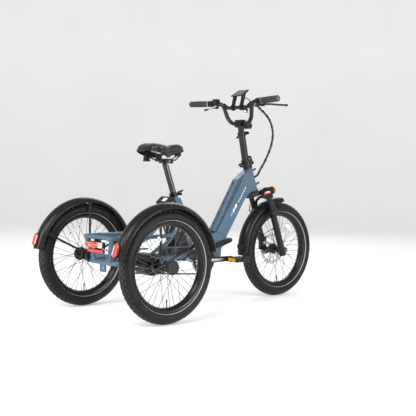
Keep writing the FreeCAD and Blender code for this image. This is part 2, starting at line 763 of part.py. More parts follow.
def riser_point(along, ahead=0.0, side=0.0):
    """A point measured up the riser's axis from its foot, ahead of it and to its left."""
    up = riser_up()
    return riser_foot + up * along + Vec(up.z, 0, -up.x) * ahead + Vec(0, side, 0)


def stem_base():
    """Lower half of the folding joint, clamped on the steerer."""
    body = rod(steer_point(74.3), steer_point(100), 26)
    hinge_lugs = []
    for side in (-1, 1):
        low, high = sorted((side * 8, side * 20))
        hinge_lugs.append(steer_plate([(84, -35), (100, -42), (100, -20), (84, -20)], low, high))
        hinge_lugs.append(rod(steer_point(100, -35, low), steer_point(100, -35, high), 7))
        latch_low, latch_high = sorted((side * 9.4, side * 15))
        hinge_lugs.append(steer_plate([(80, 18), (80, 38), (96, 40), (96, 18)], latch_low, latch_high))
    pin = rod(steer_point(100, -35, -20), steer_point(100, -35, 20), 3.5)
    latch_pin = rod(steer_point(88, 34, -15), steer_point(88, 34, 15), 2.5)
    bore = rod(steer_point(74), steer_point(96), 14.3)
    return merge([body, pin, latch_pin] + hinge_lugs).cut(bore)


def riser_tube():
    """Upper half of the folding joint with the outer riser tube and its clamp collar."""
    collar = rod(steer_point(100.3), steer_point(120), 27)
    lug = rod(steer_point(100, -35, -7.6), steer_point(100, -35, 7.6), 7)
    arm = steer_plate([(100.3, -40), (114, -30), (114, -18), (100.3, -18)], -7.6, 7.6)
    lug_hole = rod(steer_point(100, -35, -9), steer_point(100, -35, 9), 3.5 + running_gap)
    tube = rod(riser_point(-18), riser_point(147), 19)
    top_ring = rod(riser_point(126), riser_point(147), 23)
    ears = [rod(riser_point(136, 27, -15), riser_point(136, 27, 15), 9)]
    bore = rod(riser_point(8), riser_point(150), 16.5)
    split = rod(riser_point(136, 27, -1.5), riser_point(136, 27, 1.5), 12)
    skewer_hole = rod(riser_point(136, 27, -20), riser_point(136, 27, 20), 3 + running_gap)
    solid = merge([collar, lug, arm, tube, top_ring] + ears)
    return solid.cut(lug_hole).cut(bore).cut(split).cut(skewer_hole)


def fold_latch():
    """Lever on the front of the folding joint."""
    barrel = rod(steer_point(88, 34, -9), steer_point(88, 34, 9), 6)
    blade = steer_plate([(88, 28.4), (122, 28.4), (128, 33), (124, 38), (88, 40)], -8.8, 8.8)
    hole = rod(steer_point(88, 34, -10), steer_point(88, 34, 10), 2.5 + running_gap)
    return barrel.fuse(blade).cut(hole)


def riser_lever():
    """Quick release of the telescoping riser: skewer, nut and lever."""
    skewer = rod(riser_point(136, 27, -25), riser_point(136, 27, 25), 3)
    nut = rod(riser_point(136, 27, -25), riser_point(136, 27, -15.4), 7)
    cam = rod(riser_point(136, 27, 15.4), riser_point(136, 27, 29), 7)
    blade = [riser_point(142, 28, 23.6), riser_point(131, 30, 23.6), riser_point(112, -14, 23.6),
             riser_point(120, -18, 23.6)]
    face = Part.Face(Part.makePolygon(blade + blade[:1]))
    return merge([skewer, nut, cam, face.extrude(Vec(0, 5, 0))])


def bar_clamp():
    """Inner riser tube and the clamp that grips the handlebar."""
    inner = rod(riser_point(12), riser_point(178), 16.5 - running_gap)
    body = moved(block(-21, 21, -23, 23, -21, 21), bar_centre.x, 0, bar_centre.z)
    body = round_edges(body, 8, along_y)
    groove = rod_y(bar_centre.x, bar_centre.z, -40, 40, bar_radius)
    return merge([inner, body]).cut(groove)


def bar_line(side):
    """Corners of one half of the handlebar, from its middle out to the grip's end."""
    return [bar_centre, Vec(766, side * 84, 955), Vec(738, side * 113, 1066),
            Vec(702, side * bar_half_width, 1070)]


def grip_point(y):
    """A point on the straight outer stretch of the bar, at the given y."""
    side = 1 if y > 0 else -1
    inner, outer = bar_line(side)[2:]
    return inner + (outer - inner) * ((abs(y) - 113) / (bar_half_width - 113))


def handlebar():
    def bend(before, after, turn):
        beside_grip = max(before, after) > 200
        return bar_upper_bend if beside_grip else bar_lower_bend

    points = list(reversed(bar_line(-1)))[:3] + bar_line(1)[1:]
    bar = swept(points, bar_radius, bend)
    brace = bent_tube([Vec(739, -106, 1060), Vec(742, -74, 1041), Vec(742, 74, 1041),
                       Vec(739, 106, 1060)], 10, 30)
    return bar.fuse(brace)


def grips():
    solids = []
    for side in (-1, 1):
        inner, outer = grip_point(side * grip_inner_y), grip_point(side * bar_half_width)
        beyond = (outer - inner).normalize()
        solids.append(rod(inner, outer + beyond * 5, 16).cut(rod(inner - beyond, outer, bar_radius)))
    return solids


def display():
    """Tilted display panel on two arms that clamp the cross brace."""
    slope = Vec(60.6, 0, 35).normalize()
    normal = Vec(-slope.z, 0, slope.x)
    panel = panel_between(Vec(726, 0, 1103), slope, normal)
    pieces = [panel]
    for side in (-1, 1):
        y = side * 32
        clamp = sleeve(Vec(742, y - 7, 1041), Vec(742, y + 7, 1041), 16, 10)
        arm = side_plate([(734, 1054), (750, 1054), (770, 1122), (746, 1108)], y - 6, y + 6)
        pieces += [clamp, arm]
    return merge(pieces)


def panel_between(start, slope, normal):
    """Flat panel whose top face runs up the slope from start."""
    far = display_length
    corners = [start, start + slope * far, start + slope * (far - 2) - normal * 7,
               start + slope * (far * 0.6) - normal * 10, start + slope * 3 - normal * 7]
    corners = [corner - Vec(0, display_width / 2, 0) for corner in corners]
    face = Part.Face(Part.makePolygon(corners + corners[:1]))
    return round_edges(face.extrude(Vec(0, display_width, 0)), 2, along_y)


def lever_pivot(side):
    return grip_point(side * (perch_y[side] - 2)) + Vec(36, 0, -14)


def control_pods():
    """Brake lever mounts, the assist keypad, the throttle housing, the bell and the horn."""
    solids = []
    for side in (-1, 1):
        middle = grip_point(side * perch_y[side])
        ring = rod(grip_point(side * (perch_y[side] - 8)), grip_point(side * (perch_y[side] + 8)), 17)
        fork_top = moved(block(4, 44, -9, 9, 0, 5), middle.x, middle.y, middle.z - 8)
        fork_low = moved(block(4, 44, -9, 9, 0, 5), middle.x, middle.y, middle.z - 25)
        web = moved(block(4, 20, -9, 9, 0, 20), middle.x, middle.y, middle.z - 25)
        pin = rod(lever_pivot(side) - Vec(0, 0, 10), lever_pivot(side) + Vec(0, 0, 10), 2.5)
        solids.append(merge([ring, fork_top, fork_low, web, pin]))
    centre = grip_point(keypad_y)
    keypad = moved(block(-17, 15, -16, 16, -2, 24), centre.x, centre.y, centre.z)
    keypad = round_edges(keypad, 5, lambda edge: edge.BoundBox.ZLength > 20)
    solids.append(keypad.fuse(rod(grip_point(keypad_y - 12), grip_point(keypad_y + 12), 15)))
    solids.append(rod(grip_point(-180), grip_point(-190), 17))
    solids.append(rod(Vec(748, -58, 1012), Vec(748, -58, 1030.8), 13))
    hollow = [rod(grip_point(side * 135), grip_point(side * 200), bar_radius) for side in (-1, 1)]
    horn = rod(Vec(800, 0, 946), Vec(838, 0, 948), 17)
    bracket = block(787.2, 801, -6, 6, 942, 954)
    button_well = rod(keypad_button(0), keypad_button(30), 6.5)
    bored = [solid.cut(Part.makeCompound(hollow)) for solid in solids]
    bored[2] = bored[2].cut(button_well)
    return bored + [horn.fuse(bracket)]


def keypad_button(height):
    """A point on the keypad button's axis, at a height above the well's floor."""
    return grip_point(keypad_y) + Vec(-1, 0, 17 + height)


def power_button():
    return rod(keypad_button(1.8), keypad_button(9.5), 6.2)


def brake_lever(side):
    """Lever blade on its pivot, swept ahead of the grip."""
    pivot_point = lever_pivot(side)
    x, y, z = pivot_point.x, pivot_point.y, pivot_point.z
    barrel = rod(Vec(x, y, z - 5.6), Vec(x, y, z + 5.6), 7)
    path = [Vec(x, y, z - 0.5), Vec(x + 14, y + side * 40, z - 1), Vec(x + 32, y + side * 92, z - 6),
            Vec(x + 36, y + side * 140, z - 10)]
    blade = bent_tube(path, 5.2, 60)
    tip = Part.makeSphere(7, path[-1])
    hole = rod(Vec(x, y, z - 12), Vec(x, y, z + 12), 2.5 + running_gap)
    return merge([barrel, blade, tip]).cut(hole)


def throttle_lever():
    """Thumb throttle: a ring on the bar with a paddle towards the rider."""
    ring = rod(grip_point(-191), grip_point(-200), 16)
    start = grip_point(-195.5)
    paddle = moved(block(-38, -10, -4, 4, -14, -4), start.x, start.y, start.z)
    paddle = round_edges(paddle, 3, along_y)
    bore = rod(grip_point(-185), grip_point(-205), bar_radius + 0.35)
    return merge([ring, paddle]).cut(bore)


def cable_bundle():
    """Wrapped brake hoses and wires, from the right lever to the port in the head tube."""
    points = [Vec(762, -118, 1046), Vec(800, -84, 1054), Vec(846, -48, 1052), Vec(894, -22, 1040),
              Vec(940, -8, 1022), Vec(982, -2, 994), Vec(1009, 0, 956), Vec(1020, 0, 910),
              Vec(1013, 0, 862), Vec(996, 0, 818), Vec(973, 0, 778), Vec(948, 0, 739),
              Vec(921, 0, 707), Vec(902, 0, 672)]
    return cable("cable_bundle", points, 5.5)


# ---------------------------------------------------------------- saddle

def seatpost():
    """Seatpost with the rail clamp and the two saddle rails."""
    post = rod(seat_point(-136), seat_point(166), seatpost_radius)
    clamp = moved(block(-24, 26, -27, 27, -12, 12), seat_head.x + 6, 0, seat_head.z + 9)
    clamp = round_edges(clamp, 6, along_y)
    rails = []
    for side in (-1, 1):
        rails.append(bent_tube([Vec(168, side * 24, 763), Vec(196, side * 22, 752),
                                Vec(300, side * 20, 750), Vec(336, side * 11, 773)], 3.5, 14))
    crossbar = rod_y(170, 763, -62, 62, 4)
    return merge([post, clamp, crossbar] + rails)


def saddle_outline(shrink):
    """Plan view of the saddle: a wide rounded rear that narrows to the nose."""
    half = [(116, 0), (119, 52), (136, 88), (164, 100), (192, 93), (224, 66), (258, 42),
            (305, 32), (347, 26), (366, 0)]
    centre = 235.0
    points = [Vec(centre + (x - centre) * shrink, y * shrink, 0) for x, y in half]
    points += [Vec(point.x, -point.y, 0) for point in reversed(points[1:-1])]
    curve = Part.BSplineCurve()
    curve.interpolate(points, PeriodicFlag=True)
    return Part.Face(Part.Wire(curve.toShape()))


def saddle_cover():
    """Padded top, the plain outer form of the cushion."""
    body = saddle_outline(1.0).translated(Vec(0, 0, 700)).extrude(Vec(0, 0, 200))
    side_view = [(98, 793), (106, 820), (134, 834), (200, 832), (252, 826), (300, 830), (345, 834),
                 (362, 829), (374, 808), (350, 791), (300, 785), (240, 783.2), (150, 783.2)]
    return body.common(side_plate(side_view, -130, 130))


def saddle_shell():
    """Moulded base with a deep skirt under the padding, and the two elastomer springs."""
    body = saddle_outline(0.95).translated(Vec(0, 0, 700)).extrude(Vec(0, 0, 200))
    side_view = [(98, 783), (98, 778), (150, 765), (205, 757), (250, 765), (300, 774), (380, 779),
                 (380, 783)]
    hollow = saddle_outline(0.89).translated(Vec(0, 0, 700)).extrude(Vec(0, 0, 79))
    springs = []
    for side in (-1, 1):
        y = side * 49
        spring = merge([rod(Vec(172, y, 741), Vec(172, y, 780), 15),
                        rod(Vec(172, y, 741), Vec(172, y, 749), 18)])
        springs.append(spring.cut(rod_y(170, 763, y - 20, y + 20, 4)))
    return merge([body.common(side_plate(side_view, -130, 130)).cut(hollow)] + springs)


# ---------------------------------------------------------------- writing the sub-parts

def save(name, shape):
    whole = Part.makeCompound(shape) if isinstance(shape, list) else shape
    whole = whole.translated(Vec(-origin_ahead_of_rear_axle, 0, 0))
    whole.exportStep("parts/" + name + ".step")
    box = whole.optimalBoundingBox()
    print(f"{name:22s} solids {len(whole.Solids):3d} valid {whole.isValid()} "
          f"volume {whole.Volume / 1000:9.1f} cm3  x {box.XMin:8.1f} {box.XMax:8.1f}  "
          f"y {box.YMin:7.1f} {box.YMax:7.1f}  z {box.ZMin:7.1f} {box.ZMax:7.1f}")


def frame_nodes():
    save("head_tube", head_tube())
    save("down_tube", down_tube())
    save("down_tube_cover", down_tube_cover())
    save("lower_frame", lower_frame())
    save("rear_stays", rear_stays())
    save("axle_carriers", axle_carriers())
    save("rear_rack", rear_rack())
    save("frame_bearings", frame_bearings())
    save("battery_pack", battery_pack())
    save("battery_dock", battery_dock())
    save("frame_pad", frame_pad())
    save("seat_clamp", seat_clamp())
    save("rear_fender_left", rear_fender(1))
    save("rear_fender_right", rear_fender(-1))
    save("rear_fender_struts", rear_fender_struts())
    save("fender_reflectors", fender_reflectors())
    save("tail_light", tail_light())
    save("chain", chain())
    save("drive_unit", drive_unit())


def wheel_nodes():
    for name, place in (("front", front_wheel_place),
                        ("left", lambda shape: rear_wheel_place(shape, 1)),
                        ("right", lambda shape: rear_wheel_place(shape, -1))):
        save(name + "_tyre", place(tyre()))
        save(name + "_rim", [place(solid) for solid in rim()])
        save(name + "_spokes", [place(solid) for solid in spokes(28)])
    save("front_hub", front_hub())
    save("front_rotor", front_rotor())
    save("left_hub", rear_hub(1))
    save("right_hub", rear_hub(-1))


def steering_nodes():
    save("fork_crown", fork_crown())
    save("stem_base", stem_base())
    save("headlight", headlight())
    save("lockout_knob", lockout_knob())
    save("fork_lowers", fork_lowers())
    save("front_fender", front_fender())
    save("front_caliper", front_caliper())
    save("riser_tube", riser_tube())
    save("riser_lever", riser_lever())
    save("fold_latch", fold_latch())
    save("bar_clamp", bar_clamp())
    save("handlebar", handlebar())
    save("grips", grips())
    save("display", display())
    save("control_pods", control_pods())
    save("power_button", power_button())
    save("brake_lever_left", brake_lever(1))
    save("brake_lever_right", brake_lever(-1))
    save("throttle_lever", throttle_lever())
    save("cable_bundle", cable_bundle())


def rider_nodes():
    save("seatpost", seatpost())
    save("saddle_shell", saddle_shell())
    save("saddle_cover", saddle_cover())
    save("seat_lever", seat_lever())
    save("crankset", crankset())
    save("pedal_right", pedal(-1, 1))
    save("pedal_left", pedal(1, -1))
    save("rear_sprocket", rear_sprocket())


os.makedirs("parts", exist_ok=True)
frame_nodes()
wheel_nodes()
steering_nodes()
rider_nodes()
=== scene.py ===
import cmath
import math
from collections import namedtuple

import bmesh
import bpy
from mathutils import Matrix, Vector


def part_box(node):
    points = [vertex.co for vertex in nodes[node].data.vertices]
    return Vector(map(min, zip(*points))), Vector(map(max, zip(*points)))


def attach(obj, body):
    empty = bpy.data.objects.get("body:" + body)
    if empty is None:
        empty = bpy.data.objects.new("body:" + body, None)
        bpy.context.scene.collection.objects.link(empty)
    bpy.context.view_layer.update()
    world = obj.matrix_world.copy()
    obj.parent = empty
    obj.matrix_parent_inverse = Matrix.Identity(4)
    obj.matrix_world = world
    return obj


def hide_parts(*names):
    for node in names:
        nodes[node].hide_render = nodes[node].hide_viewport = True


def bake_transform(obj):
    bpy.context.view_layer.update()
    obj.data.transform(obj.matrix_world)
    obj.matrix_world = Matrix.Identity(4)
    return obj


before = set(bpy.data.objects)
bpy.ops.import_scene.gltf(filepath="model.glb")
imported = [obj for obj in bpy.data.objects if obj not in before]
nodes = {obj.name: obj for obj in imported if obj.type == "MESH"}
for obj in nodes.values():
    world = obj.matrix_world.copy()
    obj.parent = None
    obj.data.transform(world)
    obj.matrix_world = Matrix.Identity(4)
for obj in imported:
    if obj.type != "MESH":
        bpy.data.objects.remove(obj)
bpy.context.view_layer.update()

# An adult tricycle in metres. +X is forward, +Y is left, +Z is up. Most points are written in
# millimetres ahead of the rear axle, as on a drawing, and at() turns them into the row frame.
X, Y, Z = Vector((1, 0, 0)), Vector((0, 1, 0)), Vector((0, 0, 1))
REAR_AXLE_X = -0.514
AXLE_Z = 0.2625
FRONT_AXLE = Vector((0.555, 0, AXLE_Z))
HALF_TRACK = 0.339
TILT = math.radians(20.5)
STEER_UP = Vector((-math.sin(TILT), 0, math.cos(TILT)))
STEER_AHEAD = Vector((math.cos(TILT), 0, math.sin(TILT)))
STEER_PIVOT = Vector((0.337, 0, 0.653))
WHEELS = {
    "front": (FRONT_AXLE, "front_wheel"),
    "left": (Vector((REAR_AXLE_X, HALF_TRACK, AXLE_Z)), "rear_wheel_left"),
    "right": (Vector((REAR_AXLE_X, -HALF_TRACK, AXLE_Z)), "rear_wheel_right"),
}
SIDES = (-1, 1)
NAMED_SIDES = ((-1, "right"), (1, "left"))
crank_low, crank_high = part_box("crankset")
CRANK_AXLE = Vector(((crank_low.x + crank_high.x) / 2, 0, 0.243))


def at(x, y, z):
    return Vector((x / 1000 + REAR_AXLE_X, y / 1000, z / 1000))


def steer_at(along, ahead, side=0.0):
    """A point in millimetres up the steering axis, ahead of it and to its left."""
    return STEER_PIVOT + (STEER_UP * along + STEER_AHEAD * ahead + Y * side) / 1000


RISER_FOOT = at(806, 0, 768)
RISER_UP = (at(774.5, 0, 912) - RISER_FOOT).normalized()
RISER_AHEAD = Vector((RISER_UP.z, 0, -RISER_UP.x))


def riser_at(along, ahead=0.0):
    """A point in millimetres up the riser tube from its foot and ahead of it."""
    return RISER_FOOT + (RISER_UP * along + RISER_AHEAD * ahead) / 1000


def grip_at(y):
    """A point on the straight outer stretch of the handlebar."""
    side = 1 if y > 0 else -1
    share = (abs(y) - 113) / (337 - 113)
    return at(738, side * 113, 1066).lerp(at(702, side * 337, 1070), share)


def outward(angle):
    """The unit vector at an angle above straight ahead."""
    return Vector((math.cos(angle), 0, math.sin(angle)))


def wheel_at(centre, radius, degrees, y=0.0):
    """A point in millimetres out from an axle, at an angle above straight ahead, and to its left."""
    return centre + (outward(math.radians(degrees)) * radius + Y * y) / 1000


# ---------------------------------------------------------------- node materials

# A look is a material and the material slot of the pieces that wear it.
Look = namedtuple("Look", "material slot")


class Shading:
    """One node material while it is being put together."""

    def __init__(self, name):
        self.material = bpy.data.materials.new(name)
        self.material.use_nodes = True
        self.tree = self.material.node_tree
        self.shader = self.tree.nodes["Principled BSDF"]
        self.place = self.node("ShaderNodeTexCoord").outputs["Object"]

    def node(self, kind):
        return self.tree.nodes.new(kind)

    def feed(self, socket, value):
        """Fills a socket from another node's output, or with a plain value."""
        if isinstance(value, bpy.types.NodeSocket):
            self.tree.links.new(value, socket)
        else:
            socket.default_value = value

    def put(self, **values):
        """Fills the shader's own sockets, whose names are written with underscores."""
        for key, value in values.items():
            self.feed(self.shader.inputs[key.replace("_", " ")], value)

    def parts(self):
        """The X, Y and Z of the place that is being shaded."""
        node = self.node("ShaderNodeSeparateXYZ")
        self.feed(node.inputs["Vector"], self.place)
        return node.outputs

    def texture(self, node, scale, stretch):
        """Scales a texture node and feeds it the place being shaded, stretched or as it is."""
        node.inputs["Scale"].default_value = scale
        place = self.place
        if stretch:
            mapping = self.node("ShaderNodeMapping")
            mapping.inputs["Scale"].default_value = stretch
            self.feed(mapping.inputs["Vector"], place)
            place = mapping.outputs["Vector"]
        self.feed(node.inputs["Vector"], place)

    def noise(self, scale, detail=3.0, stretch=None):
        node = self.node("ShaderNodeTexNoise")
        node.inputs["Detail"].default_value = detail
        self.texture(node, scale, stretch)
        return node.outputs["Fac"]

    def cells(self, scale, feature="F1"):
        node = self.node("ShaderNodeTexVoronoi")
        node.feature = feature
        self.texture(node, scale, None)
        return node.outputs["Distance"]

    def ramp(self, value, low, high, start=0.35, stop=0.65):
        node = self.node("ShaderNodeValToRGB")
        first, last = node.color_ramp.elements
        first.position, first.color = start, (*low, 1)
        last.position, last.color = stop, (*high, 1)
        self.feed(node.inputs["Fac"], value)
        return node.outputs["Color"]

    def spread(self, value, low, high, start=0.3, stop=0.7):
        node = self.node("ShaderNodeMapRange")
        settings = {"Value": value, "From Min": start, "From Max": stop, "To Min": low, "To Max": high}
        for key, setting in settings.items():
            self.feed(node.inputs[key], setting)
        return node.outputs["Result"]

    def math(self, operation, first, second=0.0):
        node = self.node("ShaderNodeMath")
        node.operation = operation
        self.feed(node.inputs[0], first)
        self.feed(node.inputs[1], second)
        return node.outputs["Value"]

    def blend(self, share, first, second):
        """Mixes a colour from another node with a plain colour, by share."""
        node = self.node("ShaderNodeMix")
        node.data_type = "RGBA"
        mix_share, mix_first, mix_second = node.inputs[0], node.inputs[6], node.inputs[7]
        self.feed(mix_share, share)
        self.feed(mix_first, first)
        self.feed(mix_second, second)
        return node.outputs[2]

    def bump(self, height, strength, distance=0.001):
        node = self.node("ShaderNodeBump")
        node.inputs["Strength"].default_value = strength
        node.inputs["Distance"].default_value = distance
        self.feed(node.inputs["Height"], height)
        self.put(Normal=node.outputs["Normal"])

    def radius(self, centre):
        """Distance from the Y axis through centre, in metres."""
        parts = self.parts()
        across = self.math("SUBTRACT", parts["X"], centre.x)
        height = self.math("SUBTRACT", parts["Z"], centre.z)
        squares = self.math("ADD", self.math("MULTIPLY", across, across),
                            self.math("MULTIPLY", height, height))
        return self.math("SQRT", squares)


def painted(name, slot, light, dark, rough, coat):
    """Powder-coated metal: clouded colour, specks of dust, fine orange peel and a clear coat."""
    s = Shading(name)
    dust = s.spread(s.noise(900, 2), 0.0, 0.05, 0.62, 0.75)
    s.put(Base_Color=s.blend(dust, s.ramp(s.noise(14, 4), dark, light), (0.5, 0.52, 0.53, 1)),
          Roughness=s.spread(s.noise(60, 4), rough - 0.05, rough + 0.08),
          Specular_IOR_Level=0.25, Coat_Weight=coat, Coat_Roughness=0.12)
    s.bump(s.noise(1400, 2), 0.12, 0.0004)
    return Look(s.material, slot)


def anodised(name, slot, light, dark, rough, brush=None, metallic=1.0):
    """Anodised or brushed metal whose fine lines run across the largest brush scale."""
    s = Shading(name)
    lines = s.noise(220, 4, brush)
    s.put(Base_Color=s.ramp(lines, dark, light), Metallic=metallic,
          Roughness=s.spread(lines, rough - 0.06, rough + 0.1))
    s.bump(lines, 0.06, 0.0003)
    return Look(s.material, slot)


def moulded(name, slot, light, dark, rough, grain=1500.0, strength=0.25):
    """Moulded plastic with a fine pebbled grain and faint flow marks."""
    s = Shading(name)
    s.put(Base_Color=s.ramp(s.noise(18, 5, (1, 3, 1)), dark, light), Specular_IOR_Level=0.2,
          Roughness=s.spread(s.noise(90, 4), rough - 0.05, rough + 0.1))
    s.bump(s.cells(grain), strength, 0.0003)
    return Look(s.material, slot)


def tyre_rubber(name, slot, centre):
    """Side wall rubber: clouded black with fine moulded rings round the wheel."""
    s = Shading(name)
    s.put(Base_Color=s.ramp(s.noise(40, 4), (0.005, 0.005, 0.005), (0.011, 0.011, 0.011)),
          Roughness=s.spread(s.noise(200, 4), 0.4, 0.55), Specular_IOR_Level=0.2)
    rings = s.math("SINE", s.math("MULTIPLY", s.radius(centre), 3500.0))
    s.bump(s.math("ADD", s.noise(900, 3), rings), 0.25, 0.0003)
    return Look(s.material, slot)


def spoke_steel(name, slot, centre):
    """Stainless spokes that end in pale nipples at the rim."""
    s = Shading(name)
    steel = s.ramp(s.noise(300, 3), (0.05, 0.05, 0.05), (0.16, 0.16, 0.16))
    nipples = s.ramp(s.noise(500, 3), (0.34, 0.27, 0.2), (0.5, 0.43, 0.35))
    at_rim = s.spread(s.radius(centre), 0.0, 1.0, 0.1735, 0.1745)
    s.put(Base_Color=s.blend(at_rim, steel, nipples), Metallic=1.0,
          Roughness=s.spread(s.noise(700, 3), 0.22, 0.4))
    return Look(s.material, slot)


def reflector(name, slot, light, dark, painted_glow):
    """Moulded reflector lens with a pattern of small prisms behind its clear face, and painted glow."""
    s = Shading(name)
    prisms = s.cells(330, "DISTANCE_TO_EDGE")
    colour = s.ramp(prisms, dark, light, 0.02, 0.25)
    # The emission paints a glow on the lens, standing in for the light that it catches.
    s.put(Base_Color=colour, Roughness=s.spread(prisms, 0.3, 0.12, 0.0, 0.3), Coat_Weight=1.0,
          Coat_Roughness=0.03, Emission_Color=colour, Emission_Strength=painted_glow)
    s.bump(prisms, 0.35, 0.0006)
    return Look(s.material, slot)


def vinyl(name, slot):
    """Saddle cover: clouded, pebbled vinyl with a smooth gloss bumper round the tail."""
    s = Shading(name)
    cloud = s.noise(22, 5)
    parts = s.parts()
    slope, foot = 0.27, at(240, 0, 787)
    tail = s.math("SUBTRACT", foot.x, parts["X"])
    line = s.math("ADD", s.math("MULTIPLY", tail, slope), foot.z)
    bumper = s.math("MULTIPLY", s.spread(s.math("SUBTRACT", line, parts["Z"]), 0, 1, 0, 0.001),
                    s.spread(tail, 0, 1, 0.0, 0.02))
    pebbled = s.math("SUBTRACT", 1.0, bumper)
    cover = s.ramp(cloud, (0.012, 0.012, 0.013), (0.024, 0.024, 0.024))
    matt = s.math("MULTIPLY", pebbled, s.spread(cloud, 0.32, 0.48))
    s.put(Base_Color=s.blend(bumper, cover, (0.006, 0.006, 0.006, 1)), Specular_IOR_Level=0.4,
          Roughness=s.math("ADD", matt, s.math("MULTIPLY", bumper, 0.1)))
    grain = s.math("ADD", s.cells(520), s.math("MULTIPLY", s.noise(60, 4), 0.6))
    s.bump(s.math("MULTIPLY", grain, pebbled), 0.35, 0.0008)
    return Look(s.material, slot)


def hose_rubber(name, slot):
    """Black cable jacket with a slight gloss."""
    s = Shading(name)
    s.put(Base_Color=s.ramp(s.noise(130, 4), (0.008, 0.008, 0.008), (0.02, 0.02, 0.021)),
          Specular_IOR_Level=0.35, Roughness=s.spread(s.noise(300, 3), 0.35, 0.55))
    s.bump(s.noise(1100, 3), 0.2, 0.0004)
    return Look(s.material, slot)


def chain_steel(name, slot):
    """Oiled chain: dark, brownish steel."""
    s = Shading(name)
    s.put(Base_Color=s.ramp(s.noise(260, 4), (0.03, 0.027, 0.024), (0.14, 0.125, 0.11)),
          Metallic=0.9, Roughness=s.spread(s.noise(400, 3), 0.3, 0.5))
    s.bump(s.noise(900, 3), 0.15, 0.0004)
    return Look(s.material, slot)


def glassy(name, slot, light, dark, rough=0.08):
    """Glossy dark glass or gloss-black plastic, with faint smears."""
    s = Shading(name)
    s.put(Base_Color=s.ramp(s.noise(30, 4), dark, light), Coat_Weight=0.6, Coat_Roughness=0.05,
          Roughness=s.spread(s.noise(45, 5), rough, rough + 0.1))
    s.bump(s.noise(900, 2), 0.03, 0.0003)
    return Look(s.material, slot)


def backdrop(name):
    s = Shading(name)
    pale = s.ramp(s.noise(1.2, 2), (0.88, 0.88, 0.88), (0.9, 0.9, 0.9))
    s.put(Base_Color=pale, Roughness=0.9, Emission_Color=pale, Emission_Strength=0.2)
    return s.material


# Light and dark colour, roughness, and what else sets one surface of a kind apart.
BLUE = painted("blue_powder_coat", "blue_paint", (0.066, 0.118, 0.168), (0.054, 0.1, 0.146), 0.4, 0.35)
BLACK = painted("black_powder_coat", "black_paint", (0.008, 0.008, 0.009), (0.005, 0.005, 0.006), 0.3,
                0.1)
STRIPE_WHITE = painted("white_stripe", "blue_paint", (0.75, 0.77, 0.78), (0.66, 0.69, 0.71), 0.4, 0.3)
STRIPE_CYAN = painted("cyan_stripe", "blue_paint", (0.1, 0.42, 0.58), (0.08, 0.36, 0.5), 0.4, 0.3)
RED_PAINT = painted("red_anodised", "red_alloy", (0.5, 0.012, 0.012), (0.36, 0.008, 0.008), 0.3, 0.5)
ALLOY_BLACK = anodised("black_anodised", "black_alloy", (0.045, 0.044, 0.044), (0.02, 0.02, 0.02), 0.24,
                       (1, 6, 1), 0.85)
POST_BLACK = anodised("polished_black", "black_alloy", (0.11, 0.107, 0.104), (0.05, 0.048, 0.046), 0.14,
                      (1, 8, 1))
SILVER = anodised("brushed_silver", "silver_alloy", (0.72, 0.72, 0.74), (0.5, 0.5, 0.52), 0.28, (1, 1, 7))
DISC_STEEL = anodised("disc_steel", "steel", (0.62, 0.6, 0.58), (0.42, 0.41, 0.4), 0.3, (1, 9, 1))
REFLECTIVE = anodised("reflective_band", "tyre_rubber", (0.5, 0.5, 0.5), (0.34, 0.34, 0.34), 0.4, None,
                      0.3)
# Tread knobs: a lighter copy of the tyre's rubber, a painted highlight; the darker casing between them is
# painted shade in the grooves.
TREAD_HIGHLIGHT = moulded("tread_rubber_highlight", "tyre_rubber", (0.05, 0.049, 0.047), (0.024, 0.023, 0.022), 0.5, 700, 0.4)
PLASTIC = moulded("dark_moulding", "dark_plastic", (0.016, 0.016, 0.017), (0.009, 0.009, 0.01), 0.45)
FENDER = moulded("fender_moulding", "fender_plastic", (0.014, 0.013, 0.013), (0.009, 0.009, 0.009), 0.24,
                 2200, 0.1)
DOCK = moulded("dock_moulding", "dark_plastic", (0.012, 0.012, 0.013), (0.007, 0.007, 0.008), 0.5)
GRIP = moulded("grip_rubber", "rubber", (0.05, 0.049, 0.048), (0.032, 0.031, 0.03), 0.6, 900, 0.5)
PALE = moulded("pale_panel", "light_plastic", (0.15, 0.15, 0.15), (0.1, 0.1, 0.1), 0.7)
LABEL = moulded("plain_label", "light_plastic", (0.75, 0.77, 0.78), (0.62, 0.65, 0.67), 0.35)
# Reflector lenses: the last number is a painted glow, emission standing in for caught light.
RED_LENS = reflector("red_lens", "red_lens", (0.75, 0.02, 0.006), (0.4, 0.004, 0.002), 0.12)
CLEAR_LENS = reflector("clear_lens", "light_plastic", (0.85, 0.86, 0.86), (0.55, 0.57, 0.58), 0.08)
AMBER_LENS = reflector("amber_lens", "light_plastic", (0.9, 0.38, 0.004), (0.6, 0.2, 0.002), 0.12)
GLOSS_BLACK = glassy("gloss_black", "dark_plastic", (0.012, 0.012, 0.013), (0.006, 0.006, 0.007))
LAMP_GLASS = glassy("lamp_glass", "light_plastic", (0.16, 0.16, 0.165), (0.1, 0.1, 0.105), 0.3)
VINYL = vinyl("saddle_vinyl", "vinyl")
HOSE = hose_rubber("hose_jacket", "rubber")
CHAIN = chain_steel("chain_steel", "steel")


# ---------------------------------------------------------------- solids, as (points, faces)

def turns(count):
    """Evenly spaced angles once round a circle."""
    return [2 * math.pi * index / count for index in range(count)]


def arc_points(first, middle, last, count):
    """Points along the arc from first to last through middle, which are (a, b) pairs."""
    a, b, c = complex(*first), complex(*middle), complex(*last)
    ratio = (c - a) / (b - a)
    centre = a + (b - a) * (ratio - abs(ratio) ** 2) / (2j * ratio.imag)
    start = a - centre
    sweep = cmath.phase((c - centre) / start)
    if sweep * cmath.phase((b - centre) / start) < 0:
        sweep -= math.copysign(2 * math.pi, sweep)
    spots = [centre + start * cmath.exp(1j * sweep * index / count) for index in range(count + 1)]
    return [(spot.real, spot.imag) for spot in spots]


def mirrored(outline):
    """The other half of a symmetrical outline of (radius, y) points, walked back."""
    return [(radius, -y) for radius, y in reversed(outline)]


